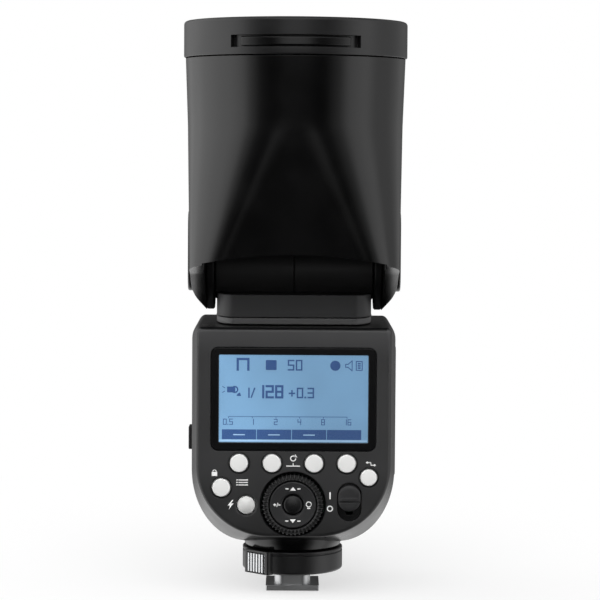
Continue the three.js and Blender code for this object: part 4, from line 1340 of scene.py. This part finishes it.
def shoe_foot():
    place = Place("shoe_foot")
    half, thick, neck_half = place.high.x, 1.9, 6.25
    made = prism("shoe_plate", rectangle(-half, -half, half, half, 0.5, 4), "z", 0, thick)
    rails = prism("rails", rectangle(-neck_half, -half + 1, neck_half, half - 1, 3.5, 10), "z",
                  thick - 0.3, 5.2)
    hub = turned("hub", [(0, 5), (8, 5), (8, place.high.z), (0, place.high.z)], "z", 0, 0, 64)
    carve(made, [rails], "UNION")
    carve(made, [hub], "UNION")
    holes = []
    for i in range(5):
        pin = Place(f"contact_pin_{i + 1}")
        holes.append(prism("pin_hole", circle(pin.mid.x, pin.mid.y, pin.size.x / 2 + GAP, 24), "z", -1, 6))
    lock = Place("lock_pin").mid
    holes.append(prism("lock_hole", circle(lock.x, lock.y, 1.3, 24), "z", -1, 11.8))
    carve(made, holes)
    return fit(made, "body_shell", "plated_steel", ["shoe_foot"], STEEL)


def contact_pins():
    for i in range(5):
        node = f"contact_pin_{i + 1}"
        place = Place(node)
        radius = place.size.x / 2
        low, high = place.low.z, place.high.z
        profile = [(0, low)] + arc(0, low + 0.5, radius, 0.5, 285, 360, 6) + [(radius, high), (0, high)]
        made = turned(node + "_tip", profile, "z", place.mid.x, place.mid.y, 24)
        fit(made, node, "chrome", [node], BRASS)


# ---- Pieces that keep their CAD shape -----------------------------------------------------

KEPT = {
    "control_board": BOARD, "main_board": BOARD, "main_capacitor": SOFT, "swivel_bearing_ring": STEEL,
    "usb_socket": STEEL, "sync_jack": STEEL, "pad_gimbal": STEEL, "lock_pin": STEEL, "swivel_tube": STEEL,
    "tilt_axle": STEEL, "zoom_motor": STEEL,
    "zoom_guide_rod": STEEL, "trigger_coil": BRASS, "zoom_carriage": SOFT, "modeling_led": LED,
    "zoom_lead_screw": STEEL,
}


def keep_cad_pieces():
    """Inner pieces keep their CAD mesh, with soft edges and their own finish."""
    for node, material in KEPT.items():
        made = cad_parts[node]
        made.data.materials.clear()
        made.data.materials.append(material)
        soften(made, 0.2, 2, 40)
        smooth(made, 40)


# ---- Studio -------------------------------------------------------------------------------

def floor():
    """A pale floor that fades to white away from the object, and that only the camera sees."""
    low = cad_box[0][2]
    made = mesh_object("floor",
                       [(x * 1500, y * 1500, low / MM) for x, y in ((-1, -1), (1, -1), (1, 1), (-1, 1))],
                       [(0, 1, 2, 3)])
    material = bpy.data.materials.new("floor_white")
    material.use_nodes = True
    graph = Graph(material.node_tree)
    place = graph.node("TexCoord").outputs["Object"]
    distance = graph.node("VectorMath", operation="LENGTH")
    graph.link(place, distance.inputs[0])
    far = graph.spread(distance.outputs["Value"], 0.6, 1, 0.03, 0.3)
    paint = graph.node("BsdfDiffuse")
    paint.inputs["Color"].default_value = (0.9, 0.9, 0.9, 1)
    glow = graph.node("Emission")
    glow.inputs["Color"].default_value = (1, 1, 1, 1)
    both = graph.node("MixShader")
    graph.link(far, both.inputs[0])
    graph.link(paint.outputs[0], both.inputs[1])
    graph.link(glow.outputs[0], both.inputs[2])
    out = graph.node("OutputMaterial")
    graph.link(both.outputs[0], out.inputs["Surface"])
    made.data.materials.append(material)
    made.visible_glossy = False
    made.visible_diffuse = False


# Brightness of the studio round the object: (degrees from the display side, light). Negative is left.
WALLS = [(-180, 0.05), (-160, 0.3), (-140, 0.85), (-118, 1.4), (-95, 1.7), (-72, 1.75), (-58, 1.45),
         (-46, 0.5), (-36, 0.08), (-25, 0.01), (30, 0.01), (45, 0.3), (60, 1.2), (78, 1.35),
         (96, 0.7), (118, 0.5), (140, 0.45), (160, 0.2), (180, 0.05)]
# How strongly the dull surfaces get each light; the glossy ones reflect it as it is.
KEY_HEIGHT = math.radians(42)
WALLS_ON_DULL = 1.0
KEY_ON_DULL = 3.7
TOP_ON_DULL = 1.0


def studio():
    """Soft light from the left, a narrower one from the right, and one above the camera."""
    world = bpy.data.worlds.new("studio")
    bpy.context.scene.world = world
    world.use_nodes = True
    graph = Graph(world.node_tree)
    direction = graph.node("TexCoord").outputs["Generated"]
    split = graph.node("SeparateXYZ")
    graph.link(direction, split.inputs[0])
    away = graph.value("MULTIPLY", split.outputs["Y"], -1)
    angle = graph.value("ARCTAN2", split.outputs["X"], away)
    degrees = graph.value("MULTIPLY", angle, 180 / math.pi)
    walls = graph.ramp(degrees, WALLS, -180, 180)
    upright = graph.spread(graph.value("ABSOLUTE", split.outputs["Z"]), 1, 0.3, 0.6, 0.95)
    around = graph.value("MULTIPLY", walls, upright)
    above = Vector((0, -math.cos(KEY_HEIGHT), math.sin(KEY_HEIGHT)))
    toward = graph.node("VectorMath", operation="DOT_PRODUCT")
    graph.link(direction, toward.inputs[0])
    toward.inputs[1].default_value = above
    key = graph.spread(toward.outputs["Value"], 0, 1.1, 0.8, 0.95)
    top = graph.spread(split.outputs["Z"], 0, 0.25, 0.75, 0.97)
    facing = graph.spread(away, 0, 0.85, 0.93, 0.985)
    glow = graph.value("MULTIPLY", facing, graph.spread(split.outputs["Z"], 0, 1, -0.08, -0.03))
    ray = graph.node("LightPath")
    dull = ray.outputs["Is Diffuse Ray"]
    low = graph.spread(split.outputs["Z"], 0.9, 0, -0.45, -0.1)
    table = graph.value("MULTIPLY", low, graph.spread(away, 1, 0, -0.6, 0.1))
    light = graph.value("ADD", glow, table)
    for lamp, on_dull in ((around, WALLS_ON_DULL), (key, KEY_ON_DULL), (top, TOP_ON_DULL)):
        strength_here = graph.spread(dull, 1, on_dull)
        light = graph.value("ADD", light, graph.value("MULTIPLY", lamp, strength_here))
    lamp = graph.node("Background")
    graph.link(light, lamp.inputs["Strength"])
    white = graph.node("Background")
    white.inputs["Color"].default_value = (1, 1, 1, 1)
    lamp.inputs["Color"].default_value = (1, 1, 1, 1)
    both = graph.node("MixShader")
    graph.link(ray.outputs["Is Camera Ray"], both.inputs[0])
    graph.link(lamp.outputs[0], both.inputs[1])
    graph.link(white.outputs[0], both.inputs[2])
    out = graph.node("OutputWorld")
    graph.link(both.outputs[0], out.inputs["Surface"])


CAMERA_PLACE = Vector((-1.1, -825, 152.6))
CAMERA_YAW = math.radians(-0.22)
CAMERA_PITCH = math.radians(-3.58)
CAMERA_ROLL = math.radians(0.38)


def camera():
    """A long lens level with the head, looking slightly down."""
    lens = bpy.data.cameras.new("camera")
    lens.lens = 141.7
    lens.sensor_width = 36
    lens.clip_start = 0.01
    made = bpy.data.objects.new("camera", lens)
    turn = Matrix.Rotation(CAMERA_YAW, 4, "Z")
    tilt = Matrix.Rotation(math.pi / 2 + CAMERA_PITCH, 4, "X")
    roll = Matrix.Rotation(CAMERA_ROLL, 4, "Z")
    made.matrix_world = Matrix.Translation(CAMERA_PLACE * MM) @ turn @ tilt @ roll
    bpy.context.scene.collection.objects.link(made)
    bpy.context.scene.camera = made


# ---- Assembly -----------------------------------------------------------------------------

head_housing()
side_cap(-1, "side_cap_left")
side_cap(1, "side_cap_right")
rim_ring()
rim_catch_bar()
front_lens()
reflector()
flash_tube()
neck()
hinge_barrel("hinge_barrel_left", -1)
hinge_barrel("hinge_barrel_right", 1)
tilt_hub("tilt_hub_left", -1)
tilt_hub("tilt_hub_right", 1)
rear_cover()
front_cover()
assist_window()
display()
for name in BUTTONS[:-1]:
    push_button(name, 0.12, GREY, "button_grey")
push_button("test_button", 0.9, LAMP_GREY, "button_grey")
dial_ring()
four_way_pad()
set_button()
power_switch()
switch_well()
panel_print()
pad_print()
battery()
battery_end_cap()
battery_latch()
port_door()
foot_collar()
lock_ring()
release_button()
shoe_foot()
contact_pins()
keep_cad_pieces()

floor()
studio()
camera()
bpy.context.scene.view_settings.view_transform = "Standard"
